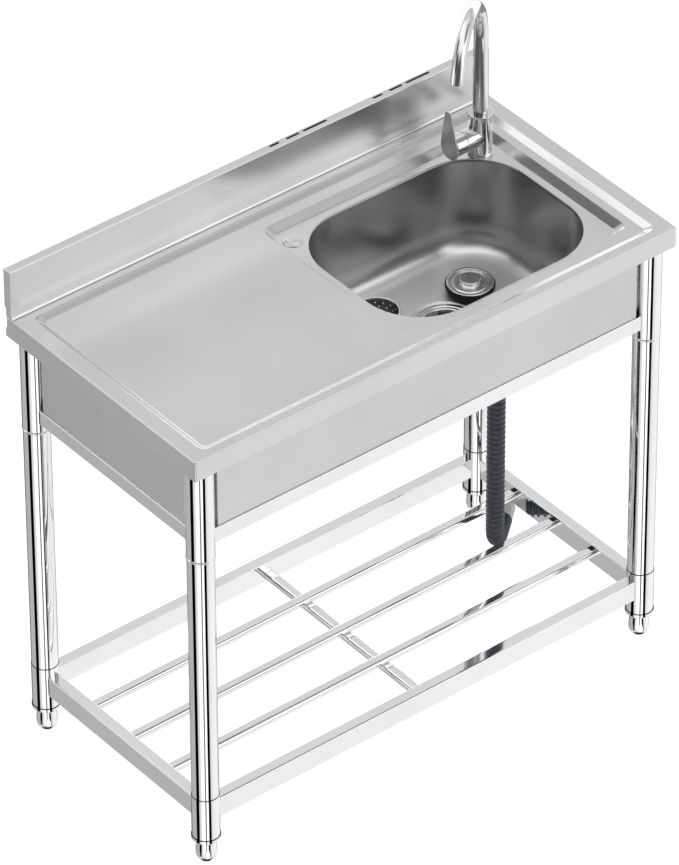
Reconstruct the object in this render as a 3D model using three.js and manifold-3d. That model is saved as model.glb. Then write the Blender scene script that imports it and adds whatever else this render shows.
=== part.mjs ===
// Kitchen sink unit: a pressed steel worktop with a drainboard, a drawn bowl and a swivel faucet, on a
// stand of round legs with a rail shelf. Millimetres, +Z up. The origin is on the floor under the centre
// of the worktop, the bowl is on the +X side and the backsplash is on the +Y side.
import * as THREE from 'three';
import { mergeVertices } from 'three/addons/utils/BufferGeometryUtils.js';
import Module from 'manifold-3d';

const wasm = await Module();
wasm.setup();

// ---------------------------------------------------------------- driving dimensions
// Worktop sheet
const width = 1000;
const depth = 500;
const topHeight = 857;
const sheet = 1.2;
const gap = 0.3;
const rimHeight = 40;
const rimCorner = 3;
const rimEdge = 2;
const rearStep = 3.5;
const rearHem = 18;

// Backsplash
const splashHeight = 95;
const splashDepth = 18;
const splashBackFlange = 75;
const slotWidth = 4.5;
const slotFromBack = 8;
const slotGroups = [40, 258];
const slotStarts = [0, 35, 70];
const slotLengths = [19, 26, 49];

// Drainboard recess, measured in from the worktop edges
const borderSide = 29;
const borderFront = 18;
const borderBack = 18.5;
const drainDrop = 6;
const drainSlope = 12;
const drainCorner = 14;

// Bowl surround recess, measured in from the foot of the drainboard slope
const surroundLength = 474;
const surroundRight = 16;
const surroundFront = 23;
const surroundBack = 22.5;
const surroundDrop = 12;
const surroundSlope = 13.5;
const surroundLeftSlope = 10;
const surroundCorner = 20;

// Bowl, measured in from the foot of the surround slope
const ledgeLeft = 13;
const ledgeRight = 12.5;
const ledgeFront = 2;
const ledgeBack = 13.5;
const bowlCorner = 110;
const bowlDepth = 179;
const bowlDraft = 6;
const bowlFillet = 38;
const bowlSheet = 1;
const bowlFlange = 6;
const bowlNotch = 20;

// Drain
const drainFlangeRadius = 57;
const drainSeat = 2.7;
const drainSeatSlope = 3.5;
const drainSeatMargin = 1.5;
const cupRadius = 41.2;
const cupWall = 1.2;
const cupDepth = 46;
const cupOutletRadius = 18;
const gasketThickness = 3.4;
const gasketRadius = 55;
const drainNutHeight = 11.7;
const drainNutRadius = 54;
const drainNutLug = 5;
const drainNutLugs = 6;
const drainBodyWall = 3.5;
const drainBodyHeight = 60;
const outletRadius = 15.5;
const outletBore = 12.5;
const outletReach = 66;
const outletDrop = 15;
const outletDown = Math.PI / 6;
const outletTurn = 0.3818;
const hoseNutRadius = 20.5;
const hoseNutLength = 20;
const hoseNutGrip = 6;
const hoseNutPlay = 0.9;

// Drain hose: the route is one smooth curve through points chosen by hand
const hoseRadius = 16.25;
const hoseRoot = 14.4;
const hoseBore = 12;
const hoseRibPitch = 10.6;
const hoseSides = 8;
const hoseBoreStep = 5;
const hoseBoreTurn = 0.2;
const cuffRadius = 15.6;
const cuffBore = 13;
const cuffLength = 36;
const hoseRoute = [
  [257.78, 6.14, 591.85], [270.8, 11.4, 583.7], [283.9, 16.6, 575.6], [313.1, 28.3, 552.4],
  [337.7, 38.2, 522.7], [356.2, 45.6, 488.1], [367.5, 50.1, 450.0], [371.4, 51.7, 410.4],
  [371.5, 52, 356], [371.5, 52, 300], [371.5, 52, 250], [371.5, 52, 200], [371.5, 52, 150],
  [371.5, 52, 108], [374.1, 54.2, 90.8], [381.6, 60.5, 76.2], [392.8, 69.9, 66.4],
  [405.9, 81, 63], [418.5, 91.6, 63], [430.9, 102, 63],
];

// Loose pieces in the bowl, measured from the bowl centre
const stopperX = 87.5;
const stopperY = 43.2;
const sealRadius = 42.5;
const sealFoot = 37;
const sealHeight = 19;
const sealWall = 6;
const plateRadius = 40;
const plateRim = 5;
const plateHeight = 2.6;
const grooveRadius = 34;
const grooveWidth = 1.2;
const knobRadius = 17.5;
const knobHeight = 8.5;
const basketX = -98.5;
const basketY = 59.2;
const basketRadius = 40;
const basketFoot = 30;
const basketHeight = 40;
const basketLip = 3;
const basketSheet = 0.9;
const basketHole = 2.2;
const basketHoleRows = 3;
const basketHolesAround = 10;

// Faucet, standing on the ledge behind the bowl corner
const faucetFromBowl = 21.5;
const faucetAngle = Math.PI / 4;
const faucetRadius = 20.5;
const faucetHeight = 82;
const faucetLip = 1.2;
const faucetLipHeight = 5;
const faucetBase = 1.5;
const faucetBaseHeight = 4;
const shankRadius = 14;
const shankLength = 44;
const faucetGasketHeight = 2.5;
const faucetNutRadius = 18.5;
const faucetNutHeight = 8;
const spoutFoot = 13;
const spoutTip = 11;
const spoutWall = 1.5;
const spoutStemRadius = 9;
const spoutStemBore = 6.5;
const spoutStemLength = 24;
const spoutRise = 154;
const spoutBend = 103;
const spoutSweep = 2.72;
const spoutTail = 5;
const spoutPoint = 0.681;
const aeratorLength = 6;
const aeratorShow = 2.5;
const aeratorWall = 2;

// Side cartridge and lever
const leverHeight = 36.5;
const housingRadius = 19.3;
const housingReach = 38.5;
const hubLength = 25.5;
const hubChamfer = 3;
const hubShaftRadius = 6;
const hubShaftLength = 12;
const leverThickness = 3;
const leverBelow = 21.5;
const leverAbove = 72.5;
const leverHalfWidth = 21.3;
const leverTipHalfWidth = 8.5;
const leverTaper = 0.19;
const leverLean = 0.04;
const tongueHalfWidth = 4;
const tongueLength = 9;
const tongueHalfHeight = 5;
const leverPinRadius = 1.5;
const leverPinDrop = 14.8;
const leverPinInset = 5;

// Cap over the spare faucet hole
const capFromBowl = 26.6;
const capAngle = 0.739;
const capRadius = 17.3;
const capStepRadius = 12;
const capEdge = 1.6;
const capStep = 1.4;
const capSpigotRadius = 9;
const capSpigotLength = 16;
const capNutRadius = 14;
const capNutHeight = 5;

// Legs
const legInset = 32.5;
const socketRadius = 23.7;
const legRadius = 23;
const tubeWall = 1.4;
const socketLength = 216.5;
const sleeveTop = 138;
const spigotLength = 40;
const collarRadius = 24.8;
const collarHeight = 10;
const collarSpigot = 15;
const footHeight = 43;
const footTopRadius = 16.5;
const footWaist = 18;
const footWaistHeight = 16;
const footSoleRadius = 13;
const footFlats = 34.4;
const stemRadius = 5;
const stemLength = 46;

// Upper rails and aprons
const upperRailDrop = 172;
const upperRailHeight = 29;
const upperRailWidth = 21;
const railWall = 1.2;
const railCorner = 2;
const apronSheet = 1;
const apronSetBack = 2.4;
const apronFlange = 12;
const apronFromLeg = 5.8;

// Shelf
const shelfRailTop = 122;
const shelfRailHeight = 40;
const shelfRailWidth = 21.7;
const barWidth = 20;
const barHeight = 13;
const barCorner = 5;
const barSpacing = 103.5;
const barTop = 113.5;
const barCount = 3;

// ---------------------------------------------------------------- finishes
const finishes = {
  brushedSteel: new THREE.MeshStandardMaterial({ color: 0xc9cacb, roughness: 0.38, metalness: 1 }),
  satinBowl: new THREE.MeshStandardMaterial({ color: 0xb4b5b6, roughness: 0.3, metalness: 1 }),
  brightTube: new THREE.MeshStandardMaterial({ color: 0xdcdddf, roughness: 0.12, metalness: 1 }),
  faucetNickel: new THREE.MeshStandardMaterial({ color: 0xbfbfbd, roughness: 0.28, metalness: 1 }),
  darkPlastic: new THREE.MeshStandardMaterial({ color: 0x4b5158, roughness: 0.55, metalness: 0 }),
  whitePlastic: new THREE.MeshStandardMaterial({ color: 0xd8d9d8, roughness: 0.5, metalness: 0 }),
  blackRubber: new THREE.MeshStandardMaterial({ color: 0x1d1e20, roughness: 0.8, metalness: 0 }),
};

// ---------------------------------------------------------------- geometry helpers
// Facets round a small circle, round a broad one, round the spout, and along a quarter of a corner.
const roundSteps = 16;
const spoutSides = 14;
const broadSteps = 24;
const cornerSteps = 7;

// Merges shared corners, drops collapsed triangles and turns the faces outwards.
function tidy(geometry) {
  const bare = geometry.clone();
  bare.deleteAttribute('normal');
  bare.deleteAttribute('uv');
  const merged = mergeVertices(bare, 1e-4);
  const corners = merged.getAttribute('position');
  const kept = [];
  let volume = 0;
  const a = new THREE.Vector3();
  const b = new THREE.Vector3();
  const c = new THREE.Vector3();
  for (let i = 0; i < merged.index.count; i += 3) {
    const face = [0, 1, 2].map((k) => merged.index.getX(i + k));
    if (new Set(face).size === 3) {
      kept.push(...face);
      a.fromBufferAttribute(corners, face[0]);
      b.fromBufferAttribute(corners, face[1]);
      c.fromBufferAttribute(corners, face[2]);
      volume += a.dot(b.cross(c));
    }
  }
  merged.setIndex(volume < 0 ? kept.reverse() : kept);
  return merged;
}

function toSolid(geometry) {
  const clean = tidy(geometry);
  const mesh = new wasm.Mesh({
    numProp: 3,
    vertProperties: new Float32Array(clean.getAttribute('position').array),
    triVerts: new Uint32Array(clean.index.array),
  });
  return new wasm.Manifold(mesh);
}

function fromSolid(solid) {
  const mesh = solid.getMesh();
  const geometry = new THREE.BufferGeometry();
  geometry.setAttribute('position', new THREE.BufferAttribute(mesh.vertProperties, 3));
  geometry.setIndex(new THREE.BufferAttribute(mesh.triVerts, 1));
  return geometry;
}

function cut(body, ...tools) {
  return fromSolid(tools.reduce((solid, tool) => solid.subtract(toSolid(tool)), toSolid(body)));
}

function join(...pieces) {
  return fromSolid(pieces.slice(1).reduce((solid, piece) => solid.add(toSolid(piece)), toSolid(pieces[0])));
}

function overlapOf(a, b) {
  return fromSolid(toSolid(a).intersect(toSolid(b)));
}

// Skins a closed loop of rings that all have the same number of points.
function skin(rings) {
  const count = rings[0].length;
  const positions = rings.flat().flatMap((p) => [p.x, p.y, p.z]);
  const index = [];
  rings.forEach((ring, i) => {
    const here = i * count;
    const next = ((i + 1) % rings.length) * count;
    for (let j = 0; j < count; j += 1) {
      const k = (j + 1) % count;
      index.push(here + j, here + k, next + k, here + j, next + k, next + j);
    }
  });
  const geometry = new THREE.BufferGeometry();
  geometry.setAttribute('position', new THREE.Float32BufferAttribute(positions, 3));
  geometry.setIndex(index);
  return tidy(geometry);
}

function box(x0, x1, y0, y1, z0, z1) {
  const geometry = new THREE.BoxGeometry(x1 - x0, y1 - y0, z1 - z0);
  return geometry.translate((x0 + x1) / 2, (y0 + y1) / 2, (z0 + z1) / 2);
}

function rod(radius, z0, z1, steps = roundSteps) {
  const geometry = new THREE.CylinderGeometry(radius, radius, z1 - z0, steps);
  return geometry.rotateX(Math.PI / 2).translate(0, 0, (z0 + z1) / 2);
}

// Turns a closed profile of [radius, height] points about the Z axis.
function turned(profile, steps = roundSteps) {
  const points = profile.map(([r, z]) => new THREE.Vector2(r, z));
  if (profile[0][0] > 0) {
    points.push(points[0].clone());
  }
  return tidy(new THREE.LatheGeometry(points, steps).rotateX(Math.PI / 2));
}

// A pipe section about the Z axis.
function pipe(outer, inner, z0, z1, steps = roundSteps) {
  return turned([[outer, z0], [outer, z1], [inner, z1], [inner, z0]], steps);
}

// A level ring with rounded corners: four equal arcs joined by straight sides.
function roundedRing(area, radius, z) {
  const arcs = [
    [area.x1 - radius, area.y0 + radius, -Math.PI / 2],
    [area.x1 - radius, area.y1 - radius, 0],
    [area.x0 + radius, area.y1 - radius, Math.PI / 2],
    [area.x0 + radius, area.y0 + radius, Math.PI],
  ];
  return arcs.flatMap(([x, y, start]) => Array.from({ length: cornerSteps + 1 }, (_, i) => {
    const angle = start + (i / cornerSteps) * (Math.PI / 2);
    return new THREE.Vector3(x + radius * Math.cos(angle), y + radius * Math.sin(angle), z);
  }));
}

function inset(area, left, right = left, front = left, back = left) {
  return { x0: area.x0 + left, x1: area.x1 - right, y0: area.y0 + front, y1: area.y1 - back };
}

function roundedShape(halfWidth, halfHeight, radius) {
  const shape = new THREE.Shape();
  shape.moveTo(halfWidth, -halfHeight + radius);
  shape.absarc(halfWidth - radius, halfHeight - radius, radius, 0, Math.PI / 2);
  shape.absarc(-halfWidth + radius, halfHeight - radius, radius, Math.PI / 2, Math.PI);
  shape.absarc(-halfWidth + radius, -halfHeight + radius, radius, Math.PI, Math.PI * 1.5);
  shape.absarc(halfWidth - radius, -halfHeight + radius, radius, Math.PI * 1.5, Math.PI * 2);
  return shape;
}

// A hollow section along X, centred on the origin.
function sectionTube(length, tubeWidth, tubeHeight, wall, radius, curveSegments) {
  const shape = roundedShape(tubeHeight / 2, tubeWidth / 2, radius);
  const bore = roundedShape(tubeHeight / 2 - wall, tubeWidth / 2 - wall, Math.max(radius - wall, 0.4));
  shape.holes.push(bore);
  const tube = new THREE.ExtrudeGeometry(shape, { depth: length, bevelEnabled: false, curveSegments });
  return tube.translate(0, 0, -length / 2).rotateY(Math.PI / 2);
}

const unit = new THREE.Group();

function addTo(parent, name, geometry, finish) {
  const mesh = new THREE.Mesh(tidy(geometry), finishes[finish]);
  mesh.name = name;
  parent.add(mesh);
  return mesh;
}

function subGroup(parent, x, y, z) {
  const group = new THREE.Group();
  group.position.set(x, y, z);
  parent.add(group);
  return group;
}

// ---------------------------------------------------------------- places that the pieces share
const backY = depth / 2;
const splashFrontY = backY - splashDepth;
const drainFloor = topHeight - drainDrop;
const ledgeTop = drainFloor - surroundDrop;
const ledgeUnder = ledgeTop - sheet;
const worktopArea = { x0: -width / 2, x1: width / 2, y0: -backY, y1: backY };
const drainArea = inset(worktopArea, borderSide, borderSide, borderFront, splashDepth + borderBack);
const drainFoot = inset(drainArea, drainSlope);
const surroundArea = {
  x0: drainFoot.x1 - surroundRight - surroundLength,
  x1: drainFoot.x1 - surroundRight,
  y0: drainFoot.y0 + surroundFront,
  y1: drainFoot.y1 - surroundBack,
};
const surroundFoot = inset(surroundArea, surroundLeftSlope, surroundSlope, surroundSlope, surroundSlope);
const bowlArea = inset(surroundFoot, ledgeLeft, ledgeRight, ledgeFront, ledgeBack);
const bowlX = (bowlArea.x0 + bowlArea.x1) / 2;
const bowlY = (bowlArea.y0 + bowlArea.y1) / 2;
const bowlFloor = ledgeTop - bowlDepth;

// A spot on the ledge behind a rear corner of the bowl: side is 1 on the right and -1 on the left.
function ledgeSpot(side, distance, angle) {
  const cornerX = (side > 0 ? bowlArea.x1 : bowlArea.x0) - side * bowlCorner;
  const cornerY = bowlArea.y1 - bowlCorner;
  const reach = bowlCorner + distance;
  return { x: cornerX + side * reach * Math.cos(angle), y: cornerY + reach * Math.sin(angle) };
}
const faucetSpot = ledgeSpot(1, faucetFromBowl, faucetAngle);
const capSpot = ledgeSpot(-1, capFromBowl, capAngle);

const legX = width / 2 - legInset;
const legY = depth / 2 - legInset;
const legTop = drainFloor - sheet - gap;
const socketBottom = legTop - socketLength;
const copeRadius = socketRadius + gap;
const upperRailTop = topHeight - upperRailDrop;

function slotSpans() {
  return slotGroups.flatMap((start) => slotStarts.map((offset, i) => {
    return [start + offset, start + offset + slotLengths[i]];
  }));
}

// ---------------------------------------------------------------- worktop, backsplash and bowl
// One pressed sheet: folded rim, drainboard recess, bowl surround recess and bowl opening.
function makeWorktop() {
  const rimBottom = topHeight - rimHeight;
  const hem = legInset - socketRadius - 2 * gap;
  const stepZ = rimBottom + rearHem;
  const rim = worktopArea;
  const steppedRim = inset(worktopArea, 0, 0, 0, rearStep);
  const innerCorner = Math.max(rimCorner - sheet, 0.5);
  const half = rimEdge / 2;
  const soft = rimEdge * 0.3;
  const upper = [
    roundedRing(inset(rim, hem), 0.5, rimBottom),
    roundedRing(rim, rimCorner, rimBottom),
    roundedRing(rim, rimCorner, stepZ - half),
    roundedRing(steppedRim, rimCorner, stepZ + half),
    roundedRing(steppedRim, rimCorner, topHeight - rimEdge),
    roundedRing(inset(steppedRim, rimEdge), rimCorner, topHeight),
    roundedRing(drainArea, drainCorner, topHeight),
    roundedRing(drainFoot, drainCorner * 0.6, drainFloor),
    roundedRing(surroundArea, surroundCorner, drainFloor),
    roundedRing(surroundFoot, surroundCorner * 0.7, ledgeTop),
    roundedRing(bowlArea, bowlCorner, ledgeTop),
  ];
  const under = [
    roundedRing(bowlArea, bowlCorner, ledgeUnder),
    roundedRing(surroundFoot, surroundCorner * 0.7, ledgeUnder),
    roundedRing(surroundArea, surroundCorner, drainFloor - sheet),
    roundedRing(drainFoot, drainCorner * 0.6, drainFloor - sheet),
    roundedRing(drainArea, drainCorner, topHeight - sheet),
    roundedRing(inset(steppedRim, sheet + soft), innerCorner, topHeight - sheet),
    roundedRing(inset(steppedRim, sheet), innerCorner, topHeight - sheet - soft),
    roundedRing(inset(steppedRim, sheet), innerCorner, stepZ + half - sheet / 2),
    roundedRing(inset(rim, sheet), innerCorner, stepZ - half - sheet / 2),
    roundedRing(inset(rim, sheet), innerCorner, rimBottom + sheet),
    roundedRing(inset(rim, hem), 0.5, rimBottom + sheet),
  ];
  const bladeRoom = slotWidth / 2 + 2 * gap;
  const slotY = backY - slotFromBack;
  const windows = slotGroups.map((start) => {
    const end = start + slotStarts[slotStarts.length - 1] + slotLengths[slotLengths.length - 1];
    return box(start, end, slotY - bladeRoom, slotY + bladeRoom, rimBottom - 1, topHeight + 1);
  });
  const faucetHole = rod(shankRadius + gap, ledgeUnder - 1, ledgeTop + 1);
  const capHole = rod(capSpigotRadius + gap, ledgeUnder - 1, ledgeTop + 1);
  return cut(
    skin([...upper, ...under]),
    ...windows,
    faucetHole.translate(faucetSpot.x, faucetSpot.y, 0),
    capHole.translate(capSpot.x, capSpot.y, 0),
  );
}

// A folded channel, open below, with a stepped back flange, closed ends and narrow slots in its top.
function makeBacksplash() {
  const foot = topHeight + gap;
  const crest = topHeight + splashHeight;
  const stepZ = crest - splashBackFlange;
  const outline = (t, bottom) => [
    [splashFrontY + t, bottom],
    [splashFrontY + t, crest - rimEdge],
    [splashFrontY + Math.max(rimEdge * 0.3, t), crest - Math.max(rimEdge * 0.3, t)],
    [splashFrontY + rimEdge, crest - t],
    [backY - rimEdge, crest - t],
    [backY - Math.max(rimEdge * 0.3, t), crest - Math.max(rimEdge * 0.3, t)],
    [backY - t, crest - rimEdge],
    [backY - t, stepZ + t / 2],
    [backY - rearStep - t, stepZ - rearStep + t / 2],
    [backY - rearStep - t, bottom],
  ];
  const extrude = (points, x0, x1) => {
    const shape = new THREE.Shape(points.map(([y, z]) => new THREE.Vector2(y, z)));
    const block = new THREE.ExtrudeGeometry(shape, { depth: x1 - x0, bevelEnabled: false });
    block.applyMatrix4(new THREE.Matrix4().set(0, 0, 1, x0, 1, 0, 0, 0, 0, 1, 0, 0, 0, 0, 0, 1));
    return block;
  };
  const shell = cut(
    extrude(outline(0, foot), -width / 2, width / 2),
    extrude(outline(sheet, foot - 1), -width / 2 + sheet, width / 2 - sheet),
  );
  const slotY = backY - slotFromBack;
  const slots = slotSpans().map(([x0, x1]) => {
    return box(x0, x1, slotY - slotWidth / 2, slotY + slotWidth / 2, crest - 2 * sheet - 2, crest + 1);
  });
  return cut(shell, ...slots);
}

// The drawn bowl: flange under the ledge, drafted walls, a large floor fillet and a pressed drain seat.
function makeBowl() {
  const top = ledgeUnder - gap;
  const filletTop = bowlFloor + bowlFillet;
  const ring = (by, z) => roundedRing(inset(bowlArea, by), bowlCorner - by, z);
  const circle = (radius, z) => {
    const area = { x0: bowlX - radius, x1: bowlX + radius, y0: bowlY - radius, y1: bowlY + radius };
    return roundedRing(area, radius, z);
  };
  const seatFloor = bowlFloor - drainSeat;
  const seatRadius = drainFlangeRadius + drainSeatMargin;
  const drainHole = cupRadius + 2;
  const filletSteps = 5;
  const fillet = (radius) => Array.from({ length: filletSteps + 1 }, (_, i) => {
    const angle = (i / filletSteps) * (Math.PI / 2);
    const by = bowlDraft + bowlFillet - radius * Math.cos(angle);
    return ring(by, filletTop - radius * Math.sin(angle));
  });
  const inside = [
    ring(-bowlFlange, top),
    ring(-0.6, top),
    ring(0.8, top - 1.6),
    ...fillet(bowlFillet),
    circle(seatRadius + drainSeatSlope, bowlFloor),
    circle(seatRadius, seatFloor),
    circle(drainHole, seatFloor),
  ];
  const outside = [
    circle(drainHole, seatFloor - bowlSheet),
    circle(seatRadius + bowlSheet / 2, seatFloor - bowlSheet),
    circle(seatRadius + drainSeatSlope + bowlSheet / 2, bowlFloor - bowlSheet),
    ...fillet(bowlFillet + bowlSheet).reverse(),
    ring(0.8 - bowlSheet, top - 2.4),
    ring(-0.6 - bowlSheet / 2, top - bowlSheet),
    ring(-bowlFlange, top - bowlSheet),
  ];
  const notch = rod(bowlNotch, top - 2.5, top + 1).translate(faucetSpot.x, faucetSpot.y, 0);
  return cut(skin([...inside, ...outside]), notch);
}

// ---------------------------------------------------------------- drain and hose
const seatTop = bowlFloor - drainSeat;
const gasketTop = seatTop - bowlSheet - gap;
const drainNutTop = gasketTop - gasketThickness - gap;
const drainBodyTop = drainNutTop - drainNutHeight - gap;
const threadRadius = cupRadius + gap;

function makeDrainFlange() {
  const inner = cupRadius - cupWall;
  const lip = seatTop + gap;
  const cupFloor = bowlFloor - cupDepth;
  return turned([
    [cupOutletRadius, cupFloor - cupWall], [cupRadius - 3, cupFloor - cupWall],
    [cupRadius, cupFloor + 2], [cupRadius, lip], [drainFlangeRadius, lip],
    [drainFlangeRadius, lip + 0.8], [drainFlangeRadius - 6, bowlFloor + 0.5],
    [cupRadius + 2.5, bowlFloor + 1.1], [cupRadius, bowlFloor + 0.6], [inner, bowlFloor - 1.2],
    [inner, cupFloor + 3], [inner - 2.5, cupFloor], [cupOutletRadius, cupFloor],
  ], broadSteps);
}

function makeDrainNut() {
  const bottom = drainNutTop - drainNutHeight;
  const lugs = Array.from({ length: drainNutLugs }, (_, i) => {
    const reach = drainNutRadius + drainNutLug;
    return box(drainNutRadius - 2, reach, -4, 4, bottom, drainNutTop)
      .rotateZ((i / drainNutLugs) * Math.PI * 2);
  });
  return join(pipe(drainNutRadius, threadRadius, bottom, drainNutTop, broadSteps), ...lugs);
}

// Places a piece modelled along Z on the outlet line of the drain body.
function alongOutlet(geometry) {
  const down = new THREE.Matrix4().makeRotationY(Math.PI / 2 + outletDown);
  const around = new THREE.Matrix4().makeRotationZ(outletTurn);
  return geometry.applyMatrix4(down).applyMatrix4(around).translate(0, 0, drainBodyTop - outletDrop);
}

function makeDrainBody() {
  const outer = threadRadius + drainBodyWall;
  const bottom = drainBodyTop - drainBodyHeight;
  const shell = turned([
    [0, bottom], [outer - 6, bottom], [outer, bottom + 6], [outer, drainBodyTop - 8],
    [outer + 2, drainBodyTop - 7], [outer + 2, drainBodyTop], [0, drainBodyTop],
  ], broadSteps);
  const room = turned([
    [0, bottom + drainBodyWall], [threadRadius - 4, bottom + drainBodyWall],
    [threadRadius, bottom + drainBodyWall + 4], [threadRadius, drainBodyTop + 1], [0, drainBodyTop + 1],
  ], broadSteps);
  const outlet = alongOutlet(rod(outletRadius, threadRadius, outletReach));
  const bore = alongOutlet(rod(outletBore, threadRadius - 8, outletReach + 1));
  return cut(join(shell, outlet), room, bore);
}

function makeHoseNut() {
  const start = outletReach - hoseNutGrip;
  const inner = hoseRadius + hoseNutPlay;
  const collar = outletRadius + gap;
  return alongOutlet(turned([
    [collar, start], [hoseNutRadius - 1, start], [hoseNutRadius, start + 1],
    [hoseNutRadius, start + hoseNutLength - 1], [hoseNutRadius - 1, start + hoseNutLength],
    [inner, start + hoseNutLength], [inner, start + 4], [collar, start + 4],
  ]));
}

// The hose leaves the drain and ends on about the same bearing, so a level line across that bearing
// keeps every ring turned alike.
const hoseBearing = 0.54;
function ringAcross(centre, tangent, radius) {
  const side = new THREE.Vector3(-Math.sin(hoseBearing), Math.cos(hoseBearing), 0);
  side.addScaledVector(tangent, -side.dot(tangent)).normalize();
  const other = tangent.clone().cross(side);
  return Array.from({ length: hoseSides }, (_, i) => {
    const angle = (i / hoseSides) * Math.PI * 2;
    const point = centre.clone().addScaledVector(side, radius * Math.cos(angle));
    return point.addScaledVector(other, radius * Math.sin(angle));
  });
}

// The ribbed hose: two rings to a rib outside, and back through the middle a smooth bore with a ring
// every five ribs, or at each rib where the hose bends.
function makeHose() {
  const curve = new THREE.CatmullRomCurve3(hoseRoute.map((p) => new THREE.Vector3(...p)), false);
  curve.arcLengthDivisions = 800;
  const length = curve.getLength();
  const ribs = Math.round(length / hoseRibPitch);
  const ringAt = (share, radius) => ringAcross(curve.getPointAt(share), curve.getTangentAt(share), radius);
  const outside = [ringAt(0, hoseRoot)];
  for (let i = 0; i < ribs; i += 1) {
    outside.push(ringAt((i + 0.35) / ribs, hoseRadius), ringAt((i + 0.85) / ribs, hoseRoot));
  }
  outside.push(ringAt(1, hoseRoot));
  const bore = [];
  let since = hoseBoreStep;
  let heading = curve.getTangentAt(1);
  for (let i = ribs; i > 0; i -= 1) {
    const tangent = curve.getTangentAt(i / ribs);
    if (since >= hoseBoreStep || tangent.angleTo(heading) > hoseBoreTurn) {
      bore.push(ringAt(i / ribs, hoseBore));
      heading = tangent;
      since = 0;
    }
    since += 1;
  }
  bore.push(ringAt(0, hoseBore));
  return skin([...outside, ...bore]);
}

function makeCuff() {
  const [beforeEnd, end] = hoseRoute.slice(-2).map((p) => new THREE.Vector3(...p));
  const heading = end.clone().sub(beforeEnd).normalize();
  const cuff = turned([
    [cuffBore, gap], [cuffRadius - 1, gap], [cuffRadius, gap + 2], [cuffRadius, cuffLength - 2],
    [cuffRadius - 1, cuffLength], [cuffBore, cuffLength],
  ]);
  const turn = new THREE.Quaternion().setFromUnitVectors(new THREE.Vector3(0, 0, 1), heading);
  return cuff.applyQuaternion(turn).translate(end.x, end.y, end.z);
}

// ---------------------------------------------------------------- loose pieces in the bowl
function makeStopperSeal() {
  const foot = bowlFloor + gap;
  const top = foot + sealHeight;
  return turned([
    [sealFoot - sealWall, foot], [sealFoot - 1, foot], [sealFoot, foot + 1],
    [sealRadius, top - 4], [sealRadius, top - 1], [sealRadius - 1, top], [sealRadius - sealWall, top],
  ], broadSteps);
}

function makeStopperPlate() {
  const seat = bowlFloor + sealHeight + 2 * gap;
  const top = seat + plateHeight;
  const hub = sealFoot - sealWall - 1;
  const face = top - 1.4;
  return turned([
    [0, seat - 8], [hub, seat - 8], [hub, seat], [plateRadius - 1, seat], [plateRadius, seat + 1],
    [plateRadius, top - 0.8], [plateRadius - 1.2, top], [plateRadius - plateRim, top],
    [plateRadius - plateRim - 0.8, face], [grooveRadius + grooveWidth / 2 - 1, face],
    [grooveRadius - 1, face - 0.9], [grooveRadius - 1 - grooveWidth / 2, face],
    [knobRadius + 2, face + 0.4], [knobRadius - 0.5, face + 1.2], [knobRadius, face + 2.4],
    [knobRadius, face + knobHeight - 1.2], [knobRadius - 1.4, face + knobHeight],
    [0, face + knobHeight],
  ], broadSteps);
}

// The perforated basket: a tapered cup with a rolled lip and three rows of holes, holes in its floor too.
function makeBasket() {
  const foot = bowlFloor + gap;
  const top = foot + basketHeight;
  const knee = 5;
  const wallTop = basketRadius - basketLip;
  const t = basketSheet;
  const shell = turned([
    [0, foot], [basketFoot - knee, foot], [basketFoot, foot + knee],
    [wallTop, top - t - 1.2], [basketRadius, top - t - 0.6], [basketRadius, top],
    [wallTop - 1, top], [wallTop - t - 0.6, top - 2], [basketFoot - t, foot + knee + 0.6],
    [basketFoot - knee - 0.4, foot + t], [0, foot + t],
  ], basketHolesAround * 2);
  const holes = [];
  for (let row = 0; row < basketHoleRows; row += 1) {
    const z = foot + knee + 6 + row * ((basketHeight - knee - 14) / (basketHoleRows - 1));
    for (let i = 0; i < basketHolesAround; i += 1) {
      const hole = new THREE.CylinderGeometry(basketHole, basketHole, 16, 6).rotateZ(Math.PI / 2);
      const turn = ((i + 0.5 + (row % 2) * 0.5) / basketHolesAround) * Math.PI * 2;
      holes.push(hole.translate((basketFoot + wallTop) / 2, 0, z).rotateZ(turn));
    }
  }
  [[1, 0], [5, 13]].forEach(([count, radius]) => {
    for (let i = 0; i < count; i += 1) {
      const hole = rod(basketHole, foot - 1, foot + t + 1, 6);
      holes.push(hole.translate(radius, 0, 0).rotateZ((i / count) * Math.PI * 2));
    }
  });
  return cut(shell, ...holes);
}

// ---------------------------------------------------------------- faucet
const leverZ = leverHeight;
const housingEnd = -housingReach;
const hubFace = housingEnd - gap - hubLength;
const pinX = hubFace + leverPinInset;
const pinZ = leverZ - leverPinDrop;

// Lays a piece modelled along Z down so that it runs along -X from the faucet axis at the lever height.
function alongLever(geometry) {
  return geometry.rotateY(-Math.PI / 2).translate(0, 0, leverZ);
}

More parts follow.
